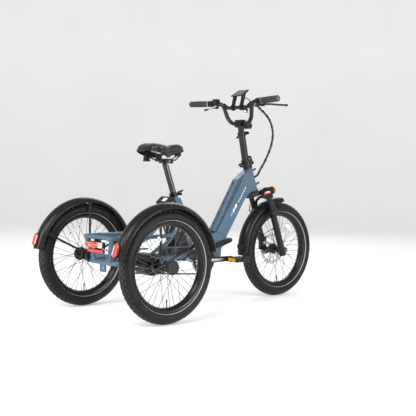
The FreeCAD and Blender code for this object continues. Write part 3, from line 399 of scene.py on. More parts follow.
def loft(rings, closed=False, capped=True):
    """A skin over rings of points, its ends capped or joined. A ring of one point is a tip."""
    points, loops = [], []
    for ring in rings:
        loops.append(range(len(points), len(points) + len(ring)))
        points += ring
    faces = [loops[0], loops[-1]] if capped else []
    for first, second in zip(loops, loops[1:] + (loops[:1] if closed else [])):
        count = max(len(first), len(second))
        for index in range(count):
            after = (index + 1) % count
            corners = (first[index % len(first)], first[after % len(first)],
                       second[after % len(second)], second[index % len(second)])
            face = list(dict.fromkeys(corners))
            if len(face) > 2:
                faces.append(face)
    return points, faces


def turned(outline, centre, steps=72, axis=Y, closed=False):
    """An outline of (radius, distance along axis) points, in millimetres, turned round axis."""
    side = axis.orthogonal().normalized()
    other = axis.cross(side)
    rings = []
    for radius, offset in outline:
        middle = centre + axis * (offset / 1000)
        angles = turns(steps) if radius else [0.0]
        rings.append([middle + (side * math.cos(angle) + other * math.sin(angle)) * (radius / 1000)
                      for angle in angles])
    return loft(rings, closed, capped=False)


def rounded_route(points, bend, steps=8):
    """The corners of a rigid tube's route, each replaced by an arc of the bend radius."""
    route = [points[0]]
    for before, corner, after in zip(points, points[1:], points[2:]):
        arriving = (corner - before).normalized()
        leaving = (after - corner).normalized()
        turn = arriving.angle(leaving)
        if turn < 0.02:
            route.append(corner)
            continue
        reach = min(bend * math.tan(turn / 2), 0.49 * (corner - before).length,
                    0.49 * (after - corner).length)
        axis = arriving.cross(leaving).normalized()
        start = corner - arriving * reach
        centre = start + axis.cross(arriving) * (reach / math.tan(turn / 2))
        for index in range(steps + 1):
            route.append(centre + Matrix.Rotation(turn * index / steps, 3, axis) @ (start - centre))
    route.append(points[-1])
    return route


def cross_axes(line, lean=None):
    """Two directions across a line at each of its points, carried along it without twist."""
    travel = line[1] - line[0]
    across = lean.cross(travel) if lean else travel.normalized().orthogonal()
    axes = []
    for before, after in zip(line[:1] + line, line[1:] + line[-1:]):
        travel = (after - before).normalized()
        across = (across - travel * across.dot(travel)).normalized()
        axes.append((across, travel.cross(across)))
    return axes


def tube(line, radius, sides=16, flat=1.0, lean=None):
    """A round or flattened section swept along a line of points, with closed ends."""
    radii = radius if isinstance(radius, list) else [radius] * len(line)
    rings = [[point + (across * math.cos(angle) + upward * (math.sin(angle) * flat)) * size
              for angle in turns(sides)]
             for point, size, (across, upward) in zip(line, radii, cross_axes(line, lean))]
    return loft(rings)


def tapered(line, radius, tip, sides):
    """A tube whose two end sections are thinner than the rest."""
    return tube(line, [tip] + [radius] * (len(line) - 2) + [tip], sides)


def prism(outline, shift):
    """A solid between an outline of points and the same outline moved by shift."""
    return loft([outline, [point + shift for point in outline]])


def block(low, high, turn=Matrix.Identity(3), centre=Vector((0, 0, 0))):
    """A box between two corners given in metres from centre, turned about centre."""
    (x0, y0, z0), (x1, y1, z1) = low, high
    outline = [centre + turn @ Vector((x, y, z0)) for x, y in ((x0, y0), (x1, y0), (x1, y1), (x0, y1))]
    return prism(outline, turn @ Vector((0, 0, z1 - z0)))


def rod(start, end, radius, sides=20):
    return tube([start, end], radius, sides)


def bolt(point, axis, radius):
    """A socket-head screw, sizes in millimetres, whose head stands out along axis."""
    head = [(0, -1.0), (radius, -1.0), (radius, radius * 0.55), (radius * 0.85, radius * 0.75),
            (radius * 0.5, radius * 0.75), (radius * 0.42, radius * 0.35), (0, radius * 0.3)]
    return turned(head, point, 14, axis.normalized())


# ---------------------------------------------------------------- pieces

def make_object(name, solids, material):
    """A smooth-shaded object in the scene, made of solids whose faces look outwards."""
    bm = bmesh.new()
    for points, faces in solids:
        corners = [bm.verts.new(point) for point in points]
        for face in faces:
            bm.faces.new([corners[index] for index in face])
    bmesh.ops.recalc_face_normals(bm, faces=bm.faces)
    mesh = bpy.data.meshes.new(name)
    bm.to_mesh(mesh)
    bm.free()
    mesh.polygons.foreach_set("use_smooth", [True] * len(mesh.polygons))
    mesh.materials.append(material)
    obj = bpy.data.objects.new(name, mesh)
    bpy.context.scene.collection.objects.link(obj)
    return obj


def make_piece(name, body, look, solids, bevel=0.0, angle=38.0, replaces=None):
    """Turns solids into a shaded piece that rides on a body, if one is named."""
    obj = make_object(name, solids, look.material)
    obj.data.set_sharp_from_angle(angle=math.radians(angle))
    if bevel:
        add_bevel(obj, bevel)
    if body:
        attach(obj, body)
    if replaces:
        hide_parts(replaces)
    return obj


def add_bevel(obj, width):
    rounding = obj.modifiers.new("rounding", "BEVEL")
    rounding.width = width
    rounding.segments = 2
    rounding.limit_method = "ANGLE"
    rounding.angle_limit = math.radians(38)
    even = obj.modifiers.new("even_normals", "WEIGHTED_NORMAL")
    even.keep_sharp = True


def finish_node(name, look, bevel=0.0):
    """Gives a carried-over CAD node its material and softly rounded edges."""
    obj = nodes[name]
    obj.data.materials.clear()
    obj.data.materials.append(look.material)
    if bevel:
        weld = obj.modifiers.new("weld", "WELD")
        weld.merge_threshold = 0.00002
        add_bevel(obj, bevel)


# ---------------------------------------------------------------- wheels

CROWN_RADIUS = 28.3
CROWN_CENTRE = 234.2
TREAD_RADIUS = 262.0
BAND_LOW, BAND_HIGH = 210.0, 214.5
ROTOR_Y = 0.0409
SPOKE_REFLECTOR_RADIUS = 0.148
FENDER_REFLECTOR_RADIUS = 0.2925
TYRE_WALL = arc_points((208.6, 16.0), (232.0, 33.0), (251.0, 21.6), 14)


def tyre_outline():
    """Outer section of a tyre as (radius, y), with small ridges on its side walls."""
    ridges = {3: 0.9, 5: 1.0, 9: 0.9}
    half = [(200.5, 15.5)]
    half += [(radius, y + ridges.get(index, 0.0)) for index, (radius, y) in enumerate(TYRE_WALL)]
    for degrees in range(44, -1, -11):
        under = outward(math.radians(degrees)) * (CROWN_RADIUS - 2.0)
        half.append((CROWN_CENTRE + under.x, under.z))
    return half + mirrored(half[:-1])


def tread_block(centre, row, around, length, width):
    """One tread knob: a small tapered block on the tyre's crown, in a row turned off its middle."""
    rings = []
    for sunk, share in ((2.4, 1.0), (0.0, 0.86)):
        ring = []
        for u, v in ((-1, -1), (1, -1), (1, 1), (-1, 1)):
            lean = math.radians(row) + v * share * width / CROWN_RADIUS / 2
            turn = around + u * share * length / TREAD_RADIUS / 2 + v * math.copysign(0.004, row)
            over = outward(lean) * (CROWN_RADIUS - sunk)
            ring.append(centre + (outward(turn) * (CROWN_CENTRE + over.x) + Y * over.z) / 1000)
        rings.append(ring)
    return loft(rings)


def make_tyre(side, centre, body):
    rubber = tyre_rubber(side + "_tyre_rubber", "tyre_rubber", centre)
    make_piece(side + "_tyre_casing", body, rubber, [turned(tyre_outline(), centre, 144)], angle=60,
               replaces=side + "_tyre")
    rows = [(0, 0, 15, 8.5)]
    for sign in SIDES:
        rows += [(sign * 22, 1, 17, 7.5), (sign * 45, 0, 14, 9.0), (sign * 66, 1, 7, 6.5)]
    knobs = 56
    blocks = [tread_block(centre, row, math.pi * (2 * index + shift) / knobs, length, width)
              for index in range(knobs) for row, shift, length, width in rows]
    # The knobs wear the lighter tread rubber, a painted highlight against the darker casing.
    make_piece(side + "_tyre_tread", body, TREAD_HIGHLIGHT, blocks, angle=20)
    wall = [(radius, y) for radius, y in TYRE_WALL if BAND_LOW < radius < BAND_HIGH]
    band = [(radius, y - 0.6) for radius, y in wall]
    band += [(radius, y + 1.3) for radius, y in reversed(wall)]
    bands = [turned(band, centre, 144, Y * sign, closed=True) for sign in SIDES]
    make_piece(side + "_tyre_bands", body, REFLECTIVE, bands)


def make_rim(side, centre, body):
    """Rim with the eyelets of its spoke holes, and its valve."""
    half = [(187, 0), (187, 7), (189, 10), (196, 21), (198, 22.6), (207, 24), (208, 22),
            (206.5, 20), (200, 16.4)]
    solids = [turned(half + mirrored(half[1:]), centre, 144, closed=True)]
    for index in range(36):
        degrees = 10 * index + 5
        foot = wheel_at(centre, 187.2, degrees, 2.4 if index % 2 else -2.4)
        solids.append(turned([(3.2, 0), (3.4, 1.2), (2.6, 1.8)], foot, 10,
                             -outward(math.radians(degrees))))
    make_piece(side + "_rim_band", body, BLACK, solids, angle=30,
               replaces=side + "_rim")
    stem = [(0, 187), (3.6, 187), (3.6, 184), (2.6, 183), (2.6, 166), (3.2, 165), (3.2, 151),
            (2.4, 148.5), (0, 148.2)]
    make_piece(side + "_valve", body, HOSE, [turned(stem, centre, 16, -Z)])


def make_spoke_reflector(side, centre, body, degrees, y):
    """Clear bar reflector clipped across two spokes."""
    turn = Matrix.Rotation(-math.radians(degrees), 3, "Y")
    outline = arc_points((-0.042, -0.01), (0.0, -0.015), (0.042, -0.01), 8)
    outline += arc_points((0.042, 0.01), (0.0, 0.005), (-0.042, 0.01), 8)
    thick = 0.009
    corners = [centre + turn @ Vector((SPOKE_REFLECTOR_RADIUS + v, y - thick / 2, u))
               for u, v in outline]
    make_piece(side + "_spoke_reflector", body, CLEAR_LENS, [prism(corners, Y * thick)],
               bevel=0.0015)
    clips = [block((0.143, y - 0.006, shift - 0.003), (0.151, y + 0.006, shift + 0.003), turn, centre)
             for shift in (-0.03, 0.03)]
    make_piece(side + "_reflector_clips", body, PLASTIC, clips, bevel=0.001)


def make_rear_hub(side, centre, body, sign):
    """Rear hub shell on its half axle, with a stepped outer cap held by five screws."""
    across = Y * sign
    flange = [(14.5, 0), (15.5, 15), (18, 23), (28, 26.5), (30, 27.2), (30, 28.6)]
    shell = [(9, -39), (14, -39), (15, -37), (15, -30), (29, -29.5)]
    shell += mirrored(flange[1:]) + flange + [(29, 29.5), (15, 30), (15, 34)]
    inner = -239 if side == "right" else -429
    axle = [(0, -38), (8.5, -38), (8.5, inner), (0, inner)]
    make_piece(side + "_hub_shell", body, ALLOY_BLACK,
               [turned(shell, centre, 64, across), turned(axle, centre, 24, across)],
               angle=30, replaces=side + "_hub")
    cap = [(0, 34), (32, 34), (33.5, 35), (33.5, 45), (31, 48.4), (29, 49.3), (26, 49.6),
           (24.5, 48.4), (12, 48.2), (11, 49.6), (7, 49.8), (6.2, 47.5), (0, 47)]
    make_piece(side + "_hub_cap", body, ALLOY_BLACK, [turned(cap, centre, 64, across)], angle=30)
    trim = []
    for outer in (30.6, 23.0, 10.5):
        edge = [(outer, 48.0), (outer - 0.8, 50.1), (outer - 2.6, 50.1), (outer - 3.2, 48.0)]
        trim.append(turned(edge, centre, 64, across, closed=True))
    for index in range(5):
        trim.append(bolt(wheel_at(centre, 18, 72 * index + 20, sign * 48.5), across, 2.4))
    make_piece(side + "_hub_cap_trim", body, POST_BLACK, trim, angle=30)


def make_front_hub(centre, body):
    flange = [(15, 12), (17, 22), (27, 26), (30, 27), (30, 28.4), (29, 29.5)]
    end = [(15, 47), (13, 49.6), (6.1, 49.6)]
    shell = mirrored(flange + [(15, 30)] + end) + flange + [(21, 30.5), (21, 39.6), (15, 40)] + end
    make_piece("front_hub_shell", body, ALLOY_BLACK, [turned(shell, centre, 64, closed=True)],
               angle=30, replaces="front_hub")


def brake_disc(middle):
    """A thin disc with wavy edges and a ring of windows."""
    count = 60
    points = []
    for layer in (-0.9, 0.9):
        for radius, wave in ((70.4, 1.2), (75.9, 0.0), (81.9, 0.0), (87.4, 1.2)):
            for angle in turns(count):
                reach = radius + wave * math.cos(12 * angle)
                points.append(middle + (outward(angle) * reach + Y * layer) / 1000)
    faces = []
    for index in range(count):
        after = (index + 1) % count
        windowed = index % 2
        spans = [(0, 1), (2, 3), (4, 5), (6, 7), (0, 4), (3, 7)]
        spans += [(1, 5), (2, 6)] if windowed else [(1, 2), (5, 6)]
        faces += [(a * count + index, a * count + after, b * count + after, b * count + index)
                  for a, b in spans]
        if windowed:
            faces += [[ring * count + edge for ring in (1, 2, 6, 5)] for edge in (index, after)]
    return points, faces


def make_rotor(centre, body):
    """Drilled brake disc on six swept arms, with the six bolts that hold it."""
    middle = centre + Y * ROTOR_Y
    make_piece("front_brake_disc", body, DISC_STEEL, [brake_disc(middle)], angle=30,
               replaces="front_rotor")
    carrier = [turned([(15.4, -0.9), (28, -0.9), (28, 0.9), (15.4, 0.9)], middle, 48, closed=True)]
    for index in range(6):
        angle = math.radians(60 * index)
        route = [middle + outward(angle + swing) * reach
                 for reach, swing in ((0.026, 0), (0.05, 0.32), (0.0725, 0.42))]
        carrier.append(tube(rounded_route(route, 0.04), 0.0042, 12, 0.24, Y))
        carrier.append(bolt(middle + (outward(angle + 0.3) + Y * 0.04) * 0.022, Y, 3.2))
    make_piece("front_disc_carrier", body, DISC_STEEL, carrier, angle=30)


def make_wheels():
    """All three wheels, each with its tyre, rim, spokes, hub and reflector."""
    for side, (centre, body) in WHEELS.items():
        make_tyre(side, centre, body)
        make_rim(side, centre, body)
        finish_node(side + "_spokes", spoke_steel(side + "_spoke_steel", "steel", centre))
    for sign, side in reversed(NAMED_SIDES):
        make_rear_hub(side, *WHEELS[side], sign)
    make_front_hub(*WHEELS["front"])
    make_rotor(*WHEELS["front"])
    for side, degrees, y in (("left", 118, -0.014), ("right", 132, -0.03), ("front", 60, -0.012)):
        make_spoke_reflector(side, *WHEELS[side], degrees, y)


# ---------------------------------------------------------------- fenders

def fender_section(crown, half, share):
    """Closed section of a fender as (radius, y): a thin arc whose two edges are rolled."""
    edge = crown - 25.0
    outer = arc_points((edge, half), (crown, 0), (edge, -half), 18)
    inner = arc_points((edge - 0.4, 2.4 - half), (crown - 2.5, 0), (edge - 0.4, half - 2.4), 18)
    lip = [(edge - 2.2, half + 0.2), (edge - 3.0, half - 1.6), (edge - 2.0, half - 3.0)]
    section = outer + [(radius, -y) for radius, y in lip] + inner + lip[::-1]
    return [(crown + (radius - crown) * share ** 2, y * share) for radius, y in section]


def make_fender(name, centre, body, crown, half_width, start, stop):
    """Sweeps the section round the wheel and rounds off both ends in the plan view."""
    rings = []
    steps = 96
    rounded_degrees, end_share = 7, 0.62
    for index in range(steps + 1):
        degrees = start + (stop - start) * index / steps
        into = min(1.0, min(degrees - start, stop - degrees) / rounded_degrees)
        share = end_share + (1 - end_share) * math.sqrt(1 - (1 - into) ** 2)
        section = fender_section(crown, half_width, share)
        rings.append([wheel_at(centre, radius, degrees, y) for radius, y in section])
    make_piece(name + "_shell", body, FENDER, [loft(rings)], angle=50, replaces=name)


def make_strut_hardware():
    """Screws where the struts meet the fenders and the carriers, and crown screws."""
    screws = []
    for side, word in NAMED_SIDES:
        centre = WHEELS[word][0]
        for degrees in (22, 90, 154):
            screws.append(bolt(wheel_at(centre, 264, degrees, side * -56), Y * -side, 4))
            screws.append(bolt(wheel_at(centre, 26, degrees, side * -55), Y * -side, 4))
            for y in (-24, 24):
                lean = outward(math.radians(degrees)) + Y * (y * 0.02)
                screws.append(bolt(wheel_at(centre, 283.5, degrees, y), lean, 3.2))
    make_piece("fender_screws", "frame", ALLOY_BLACK, screws, angle=30)


def reflector_oval(middle, out, grow, height):
    """A long oval square to the direction out, as a ring of points."""
    along = Y.cross(-out)
    half_gap, radius = 0.016, 0.018 + grow
    points = []
    for end in (1, -1):
        for index in range(13):
            turn = math.pi * index / 12
            u = end * (half_gap + math.sin(turn) * radius)
            points.append(middle + out * height + along * u + Y * (end * math.cos(turn) * radius))
    return points


def make_fender_reflectors():
    """Oval rear reflectors: black backing cup, red lens and a white strip outboard."""
    out = outward(math.radians(162.5))
    along = Y.cross(-out)
    for side, word in NAMED_SIDES:
        middle = WHEELS[word][0] + out * FENDER_REFLECTOR_RADIUS
        cup = prism(reflector_oval(middle, out, 0.0, -0.002), out * 0.009)
        make_piece(word + "_reflector_cup", "frame", PLASTIC, [cup], bevel=0.0015,
                   replaces="fender_reflectors" if side < 0 else None)
        lens = loft([reflector_oval(middle, out, -0.0016, 0.0065),
                     reflector_oval(middle, out, -0.004, 0.0118)])
        make_piece(word + "_reflector_lens", "frame", RED_LENS, [lens], bevel=0.0012)
        strip = []
        for index in range(5):
            foot = middle + out * 0.0096 + along * (index * 0.0085 - 0.0185)
            outline = [foot + along * u - Y * (side * v) for u, v in
                       ((0, 0.0148), (0.0078, 0.0148), (0.0078, 0.0096), (0, 0.0096))]
            strip.append(prism(outline, out * 0.0026))
        make_piece(word + "_reflector_white", "frame", CLEAR_LENS, strip, bevel=0.0006)


def make_fenders():
    for side in ("left", "right"):
        make_fender("rear_fender_" + side, WHEELS[side][0], "frame", 293, 40, 10.5, 171.5)
    make_fender("front_fender", FRONT_AXLE, "fork_lowers", 292, 38, 85, 184)
    finish_node("rear_fender_struts", BLACK, 0.0006)
    make_strut_hardware()
    make_fender_reflectors()
    stays = []
    for side in SIDES:
        route = [at(822, side * 37, 318), at(829, side * 42, 315), at(900, side * 47, 352),
                 at(979, side * 50.5, 382)]
        stays.append(tube(rounded_route(route, 0.03), 0.002, 10))
        stays.append(bolt(at(979, side * 52, 382), Y * side, 4))
    make_piece("front_fender_stays", "fork_lowers", BLACK, stays)
    clip = [bolt(at(778, y, 282), Vector((-1, 0, 0.1)), 3.0) for y in (-14, 0, 14)]
    clip.append(block((-0.003, -0.02, -0.009), (0.0015, 0.02, 0.009), Matrix.Rotation(0.1, 3, "Y"),
                      at(779.5, 0, 292)))
    make_piece("front_fender_clip", "fork_lowers", BLACK, clip, bevel=0.001)


# ---------------------------------------------------------------- frame

TUBE_FOOT = at(581, 0, 385)
TUBE_ALONG = outward(math.radians(56.46))
TUBE_OUT = Vector((-TUBE_ALONG.z, 0, TUBE_ALONG.x))


def tube_at(along, out, y):
    """A point up the rear face of the down tube, out from that face and to its left."""
    return TUBE_FOOT + (TUBE_ALONG * along + TUBE_OUT * out + Y * y) / 1000


def lid_height(along):
    """How far the lid's crest stands out from the tube's rear face."""
    return 15.5 + 8.0 * (along + 4) / 311


def rib(start, stop, y, radius, height, on_lid=False):
    """A tapered rib along the tube, at a height over its rear face or over the lid's crest."""
    places = [start + (stop - start) * index / 12 for index in range(13)]
    line = [tube_at(along, height + (lid_height(along) if on_lid else 0), y) for along in places]
    return tapered(line, radius, radius / 4, 10)


def make_cover_trim():
    """Raised ribs along the cover, the screws on its rear face and the seam beside it."""
    ribs, seams = [], []
    for side in SIDES:
        ribs.append(rib(2, 330, side * 22.4, 0.0016, 8.2))
        ribs.append(rib(0, 306, side * 19.0, 0.0015, -8, True))
        ribs.append(rib(6, 300, side * 9.5, 0.0017, 0.2, True))
        seams.append(rib(-4, 345, side * 25.6, 0.0012, 0.5))
    make_piece("cover_ribs", "frame", BLUE, ribs, angle=60)
    screws = []
    for along in (34, 96, 158, 220, 282):
        screws.append(bolt(tube_at(along, lid_height(along) - 0.2, 0), TUBE_OUT, 4.2))
        screws += [bolt(tube_at(along - 18, 3.6, side * 24.9), Y * side, 2.4) for side in SIDES]
    make_piece("cover_screws", "frame", ALLOY_BLACK, screws, angle=30)
    make_piece("cover_seam", "frame", HOSE, seams)


def make_stripes():
    """Plain slanted bars painted on both sides of the down tube."""
    foot = -44
    bars = [(138, 156, 12), (163, 186, 12)]
    bars += [(204 + 17 * count, 215 + 17 * count, 5) for count in range(6)]
    for name, look, marks in (("white", STRIPE_WHITE, bars), ("cyan", STRIPE_CYAN, [(112, 130, 12)])):
        solids = []
        for side in SIDES:
            for low, high, wide in marks:
                skew = wide * 0.6
                corners = ((low, 0), (high, 0), (high + skew, wide), (low + skew, wide))
                outline = [tube_at(step, foot + rise, side * 33.9) for step, rise in corners]
                solids.append(prism(outline, Y * (side * 0.0006)))
        make_piece(name + "_side_bars", "frame", look, solids)


def weld_bead(centre, axis, radius):
    """A rippled bead of weld round a joint, whose radius is in millimetres."""
    side = axis.orthogonal().normalized()
    other = axis.normalized().cross(side)
    angles = turns(40) + [2 * math.pi]
    route = [centre + (side * math.cos(angle) + other * math.sin(angle)) * (radius / 1000)
             for angle in angles]
    return tube(route, [0.0021 + 0.0005 * (index % 2) for index in range(len(angles))], 8)


def make_welds():
    beads = [weld_bead(steer_at(along, 23.6), STEER_AHEAD, 7.0) for along in (44, -36)]
    for side in SIDES:
        stay = at(-142, side * 110, 378)
        lean = stay - at(-117, side * 57, 259)
        arm = at(392, side * 30, 268) - at(8, side * 110, 262)
        joints = ((stay, lean, 9.5), (at(-118.6, side * 60.4, 266.5), lean, 8.5),
                  (at(5.7, side * 116, 369), Z, 8.5), (at(2.3, side * 116, 281), Z, 8.5),
                  (at(60, side * 107, 380), Y, 8.8), (at(30, side * 106, 263), arm, 12.8))
        beads += [weld_bead(*joint) for joint in joints]
    make_piece("weld_beads", "frame", BLUE, beads, angle=70)


def make_head_trim():
    """Threaded inserts in the bosses and the rubber grommet of the cable port."""
    ring = [(2.6, 53.8), (2.6, 54.3), (4.6, 54.3), (4.6, 53.8)]
    inserts = [turned(ring, steer_at(along, 0), 24, STEER_AHEAD, closed=True) for along in (44, -36)]
    make_piece("boss_inserts", "frame", SILVER, inserts)
    grommet = [(0, 26), (9.2, 26), (9.4, 28.5), (8.2, 30), (6.6, 30.6), (0, 30.6)]
    make_piece("port_grommet", "frame", HOSE, [turned(grommet, steer_at(6, 0), 32, STEER_AHEAD)],
               angle=50)


def make_rack_trim():
    """Deck screws, the tail lamp's cable and its clips."""
    ring = [(3.3, 0), (3.3, 0.8), (5.2, 0.8), (5.2, 0)]
    screws = [turned(ring, at(x, side * 94, 381), 24, Z, closed=True)
              for side in SIDES for x in (-120, 120)]
    screws += [bolt(at(x, y, 389.6), Z, 3.4)
               for x, y in ((-60, 116), (20, 116), (100, 116), (-60, -116), (20, -116))]
    make_piece("rack_screws", "frame", ALLOY_BLACK, screws, angle=30)
    route = [at(-146, -36, 334), at(-138, -62, 322), at(-124, -88, 300), at(-100, -96, 268),
             at(-60, -122, 276), at(-18, -128, 274), at(40, -104, 284)]
    half = 0.004
    clips = [block((-half, -half, -half), (half, half, half), Matrix.Rotation(0.6, 3, "Z"), route[index])
             for index in (2, 4)]
    make_piece("lamp_cable", "frame", HOSE, [tube(rounded_route(route, 0.05), 0.0022, 10)] + clips,
               bevel=0.0006)


def make_frame():
    finishes = (("head_tube", BLUE, 0.0022), ("down_tube", BLUE, 0.0022),
                ("down_tube_cover", BLUE, 0.0022), ("lower_frame", BLUE, 0.0022),
                ("rear_stays", BLUE, 0.0008), ("rear_rack", BLUE, 0.0008),
                ("axle_carriers", BLACK, 0.0008), ("frame_bearings", ALLOY_BLACK, 0.0008),
                ("seat_clamp", ALLOY_BLACK, 0.0012), ("frame_pad", PLASTIC, 0.004))
    for finish in finishes:
        finish_node(*finish)
    make_cover_trim()
    make_stripes()
    make_welds()
    make_head_trim()
    make_rack_trim()


# ---------------------------------------------------------------- lights

def make_tail_light():
    """Tail lamp with a ribbed red lens, a white end, a reflector strip and its backing."""
    housing = [block(at(-166, -66, 331), at(-150, 66, 360)),
               block(at(-160, -64, 307), at(-150, 64, 325)),
               block(at(-150, -28, 305), at(-146, 28, 369.5))]
    make_piece("tail_lamp_housing", "frame", PLASTIC, housing, bevel=0.002, replaces="tail_light")
    lens = [block(at(-174, -36, 333), at(-165.5, 65, 358.5)),
            block(at(-163, -63, 308.5), at(-159.6, 63, 323.5))]
    make_piece("tail_lamp_lens", "frame", RED_LENS, lens, bevel=0.0025)
    make_piece("tail_lamp_clear_end", "frame", CLEAR_LENS,
               [block(at(-174, -65.5, 333), at(-165.5, -36.6, 358.5))], bevel=0.0025)
    ribs = [rod(at(-174.2, y, 336), at(-174.2, y, 355.5), 0.0009, 8) for y in range(-30, 64, 8)]
    make_piece("tail_lamp_ribs", "frame", RED_LENS, ribs)
    make_piece("tail_lamp_screws", "frame", SILVER,
               [bolt(at(-145.6, y, 345), X, 3.4) for y in (-16, 16)], angle=30)


def make_headlight():
    """Round lamp: ribbed body with a dished front, amber ring and a domed lens."""
    finish_node("headlight", PLASTIC, 0.0012)
    start = at(960, 0, 590)
    axis = (at(1022, 0, 595) - start).normalized()
    shell = [(0, -3.5), (12, -3.5), (17, -1.5), (20.4, 2), (20.6, 10), (19.6, 11), (20.6, 12),
             (20.6, 22), (19.6, 23), (20.6, 24), (21.4, 46), (22.2, 56), (22.2, 64), (20.6, 66),
             (19.6, 66), (19.6, 60), (0, 60)]
    make_piece("lamp_shell", "fork_lowers", PLASTIC, [turned(shell, start, 64, axis)], angle=35)
    ring = [(22.2, 59), (22.8, 59.6), (22.8, 63.6), (22, 64.6), (21.6, 62)]
    make_piece("lamp_amber_ring", "fork_lowers", AMBER_LENS,
               [turned(ring, start, 64, axis, closed=True)])
    lens = [(19.4, 61), (19.4, 67), (16, 69.2), (9, 70.2), (0, 70.4)]
    make_piece("lamp_lens", "fork_lowers", LAMP_GLASS, [turned(lens, start, 64, axis)], angle=60)


# ---------------------------------------------------------------- drive

PITCH = 0.0127
SPROCKET_TEETH, CHAINRING_TEETH, LINKS = 28, 36, 104
CHAIN_Y = -0.066
PLATE_THICK, PLATE_END, PLATE_WAIST = 0.0009, 0.0042, 0.0031


def pitch_radius(teeth):
    """Radius of the circle on which the chain's pins run round a sprocket."""
    return PITCH / (2 * math.sin(math.pi / teeth))


def chain_pins():
    """Centres of the chain's pins, evenly spaced round both sprockets."""
    rear = Vector((REAR_AXLE_X, CHAIN_Y, AXLE_Z))
    front = Vector((CRANK_AXLE.x, CHAIN_Y, CRANK_AXLE.z))
    big, small = pitch_radius(CHAINRING_TEETH), pitch_radius(SPROCKET_TEETH)
    gap = (front - rear).length
    lean = math.atan2(front.z - rear.z, front.x - rear.x)
    wedge = math.asin((big - small) / gap)
    top, bottom = lean + math.pi / 2 + wedge, lean - math.pi / 2 - wedge
    run = math.sqrt(gap ** 2 - (big - small) ** 2)
    upper_rear, upper_front = (rear, small, top), (front, big, top)
    lower_front, lower_rear = (front, big, bottom), (rear, small, bottom)
    once_round = (rear, small, top - 2 * math.pi)
    stretches = ((run, upper_rear, upper_front),
                 (big * (top - bottom), upper_front, lower_front),
                 (run, lower_front, lower_rear),
                 (small * (2 * math.pi - top + bottom), lower_rear, once_round))
    step = sum(length for length, first, last in stretches) / LINKS
    pins = []
    walked = 0.0
    for length, first, last in stretches:
        while walked < length and len(pins) < LINKS:
            share = walked / length
            centre, radius, angle = (a + (b - a) * share for a, b in zip(first, last))
            pins.append(centre + outward(angle) * radius)
            walked += step
        walked -= length
    return pins


def link_outline(pin, after):
    """The waisted outline of a side plate round two pins."""
    along = (after - pin).normalized()
    upward = Y.cross(along)
    outline = []
    for end, sign in ((after, 1), (pin, -1)):
        for degrees in range(-80, 81, 32):
            angle = math.radians(degrees)
            away = along * math.cos(angle) + upward * math.sin(angle)
            outline.append(end + away * (sign * PLATE_END))
        outline.append((pin + after) / 2 + upward * (sign * PLATE_WAIST))
    return outline


def make_chain():
    """Roller chain, link by link: waisted inner and outer plates, rollers and pins."""
    pins = chain_pins()
    solids = []
    for index, pin in enumerate(pins):
        outline = link_outline(pin, pins[(index + 1) % LINKS])
        gap = 0.0033 if index % 2 else 0.0022
        for y in (-gap - PLATE_THICK, gap):
            solids.append(prism([point + Y * y for point in outline], Y * PLATE_THICK))
        solids.append(rod(pin - Y * 0.0021, pin + Y * 0.0021, 0.0038, 12))
        solids.append(rod(pin - Y * 0.0048, pin + Y * 0.0048, 0.0018, 8))
    make_piece("chain_links", "frame", CHAIN, solids, angle=30, replaces="chain")


def make_drive_unit():
    """Finned motor housing with its cover screws."""
    centre = Vector((REAR_AXLE_X, 0, AXLE_Z))
    shell = [(9, -262), (17, -262), (17, -242), (24, -241), (44, -240), (49, -237)]
    for start in range(-234, -158, 9):
        shell += [(52, start), (52, start + 5), (49.5, start + 6), (49.5, start + 8)]
    shell += [(52, -155), (49, -151), (44, -150), (9, -150)]
    solids = [turned(shell, centre, 72, closed=True)]
    solids += [bolt(wheel_at(centre, 36, 60 * index, -239.8), -Y, 3.5) for index in range(6)]
    make_piece("drive_housing", "frame", ALLOY_BLACK, solids, angle=30, replaces="drive_unit")


def make_cranks():
    """Crank with its end caps, the chainring's bolts and bright facets along both arms."""
    finish_node("crankset", ALLOY_BLACK, 0.0025)
    finish_node("rear_sprocket", DISC_STEEL, 0.0004)
    cap = [(0, 98), (10, 98), (10.5, 99.4), (8, 100), (4, 100), (3.5, 97), (0, 97)]
    bolts = [turned(cap, CRANK_AXLE, 32, Y * side) for side in SIDES]
    bolts += [bolt(wheel_at(CRANK_AXLE, 55, -72 * index - 36, -72.2), -Y, 3.4) for index in range(5)]
    make_piece("crank_bolts", "crank", SILVER, bolts, angle=30)
    facets = []
    for side in SIDES:
        outline = [CRANK_AXLE + Vector((-side * u, side * 98.1, v)) / 1000
                   for u, v in ((22, -7), (70, -5), (140, -5), (140, 5), (70, 5), (22, 7))]
        facets.append(prism(outline, Y * (side * 0.0005)))
    make_piece("crank_facets", "crank", SILVER, facets)


def make_pedals():
    """Amber reflectors front and rear, and grip studs on both faces of each pedal."""
    for _, word in NAMED_SIDES:
        body = "pedal_" + word
        finish_node(body, PLASTIC, 0.0015)
        low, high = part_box(body)
        middle = (low + high) / 2
        lenses = [block((near, -0.026, -0.0078), (near + 0.0022, 0.026, 0.0078), centre=middle)
                  for near in (-0.0484, 0.0462)]
        make_piece(body + "_reflectors", body, AMBER_LENS, lenses, bevel=0.0008)
        studs = []
        for x in (-0.042, -0.021, 0.021, 0.042):
            for y in (-0.034, 0.034):
                spot = middle + Vector((x, y, 0))
                studs.append(rod(spot - Z * 0.0128, spot + Z * 0.0128, 0.0016, 10))
        make_piece(body + "_studs", body, SILVER, studs)


# ---------------------------------------------------------------- battery and saddle

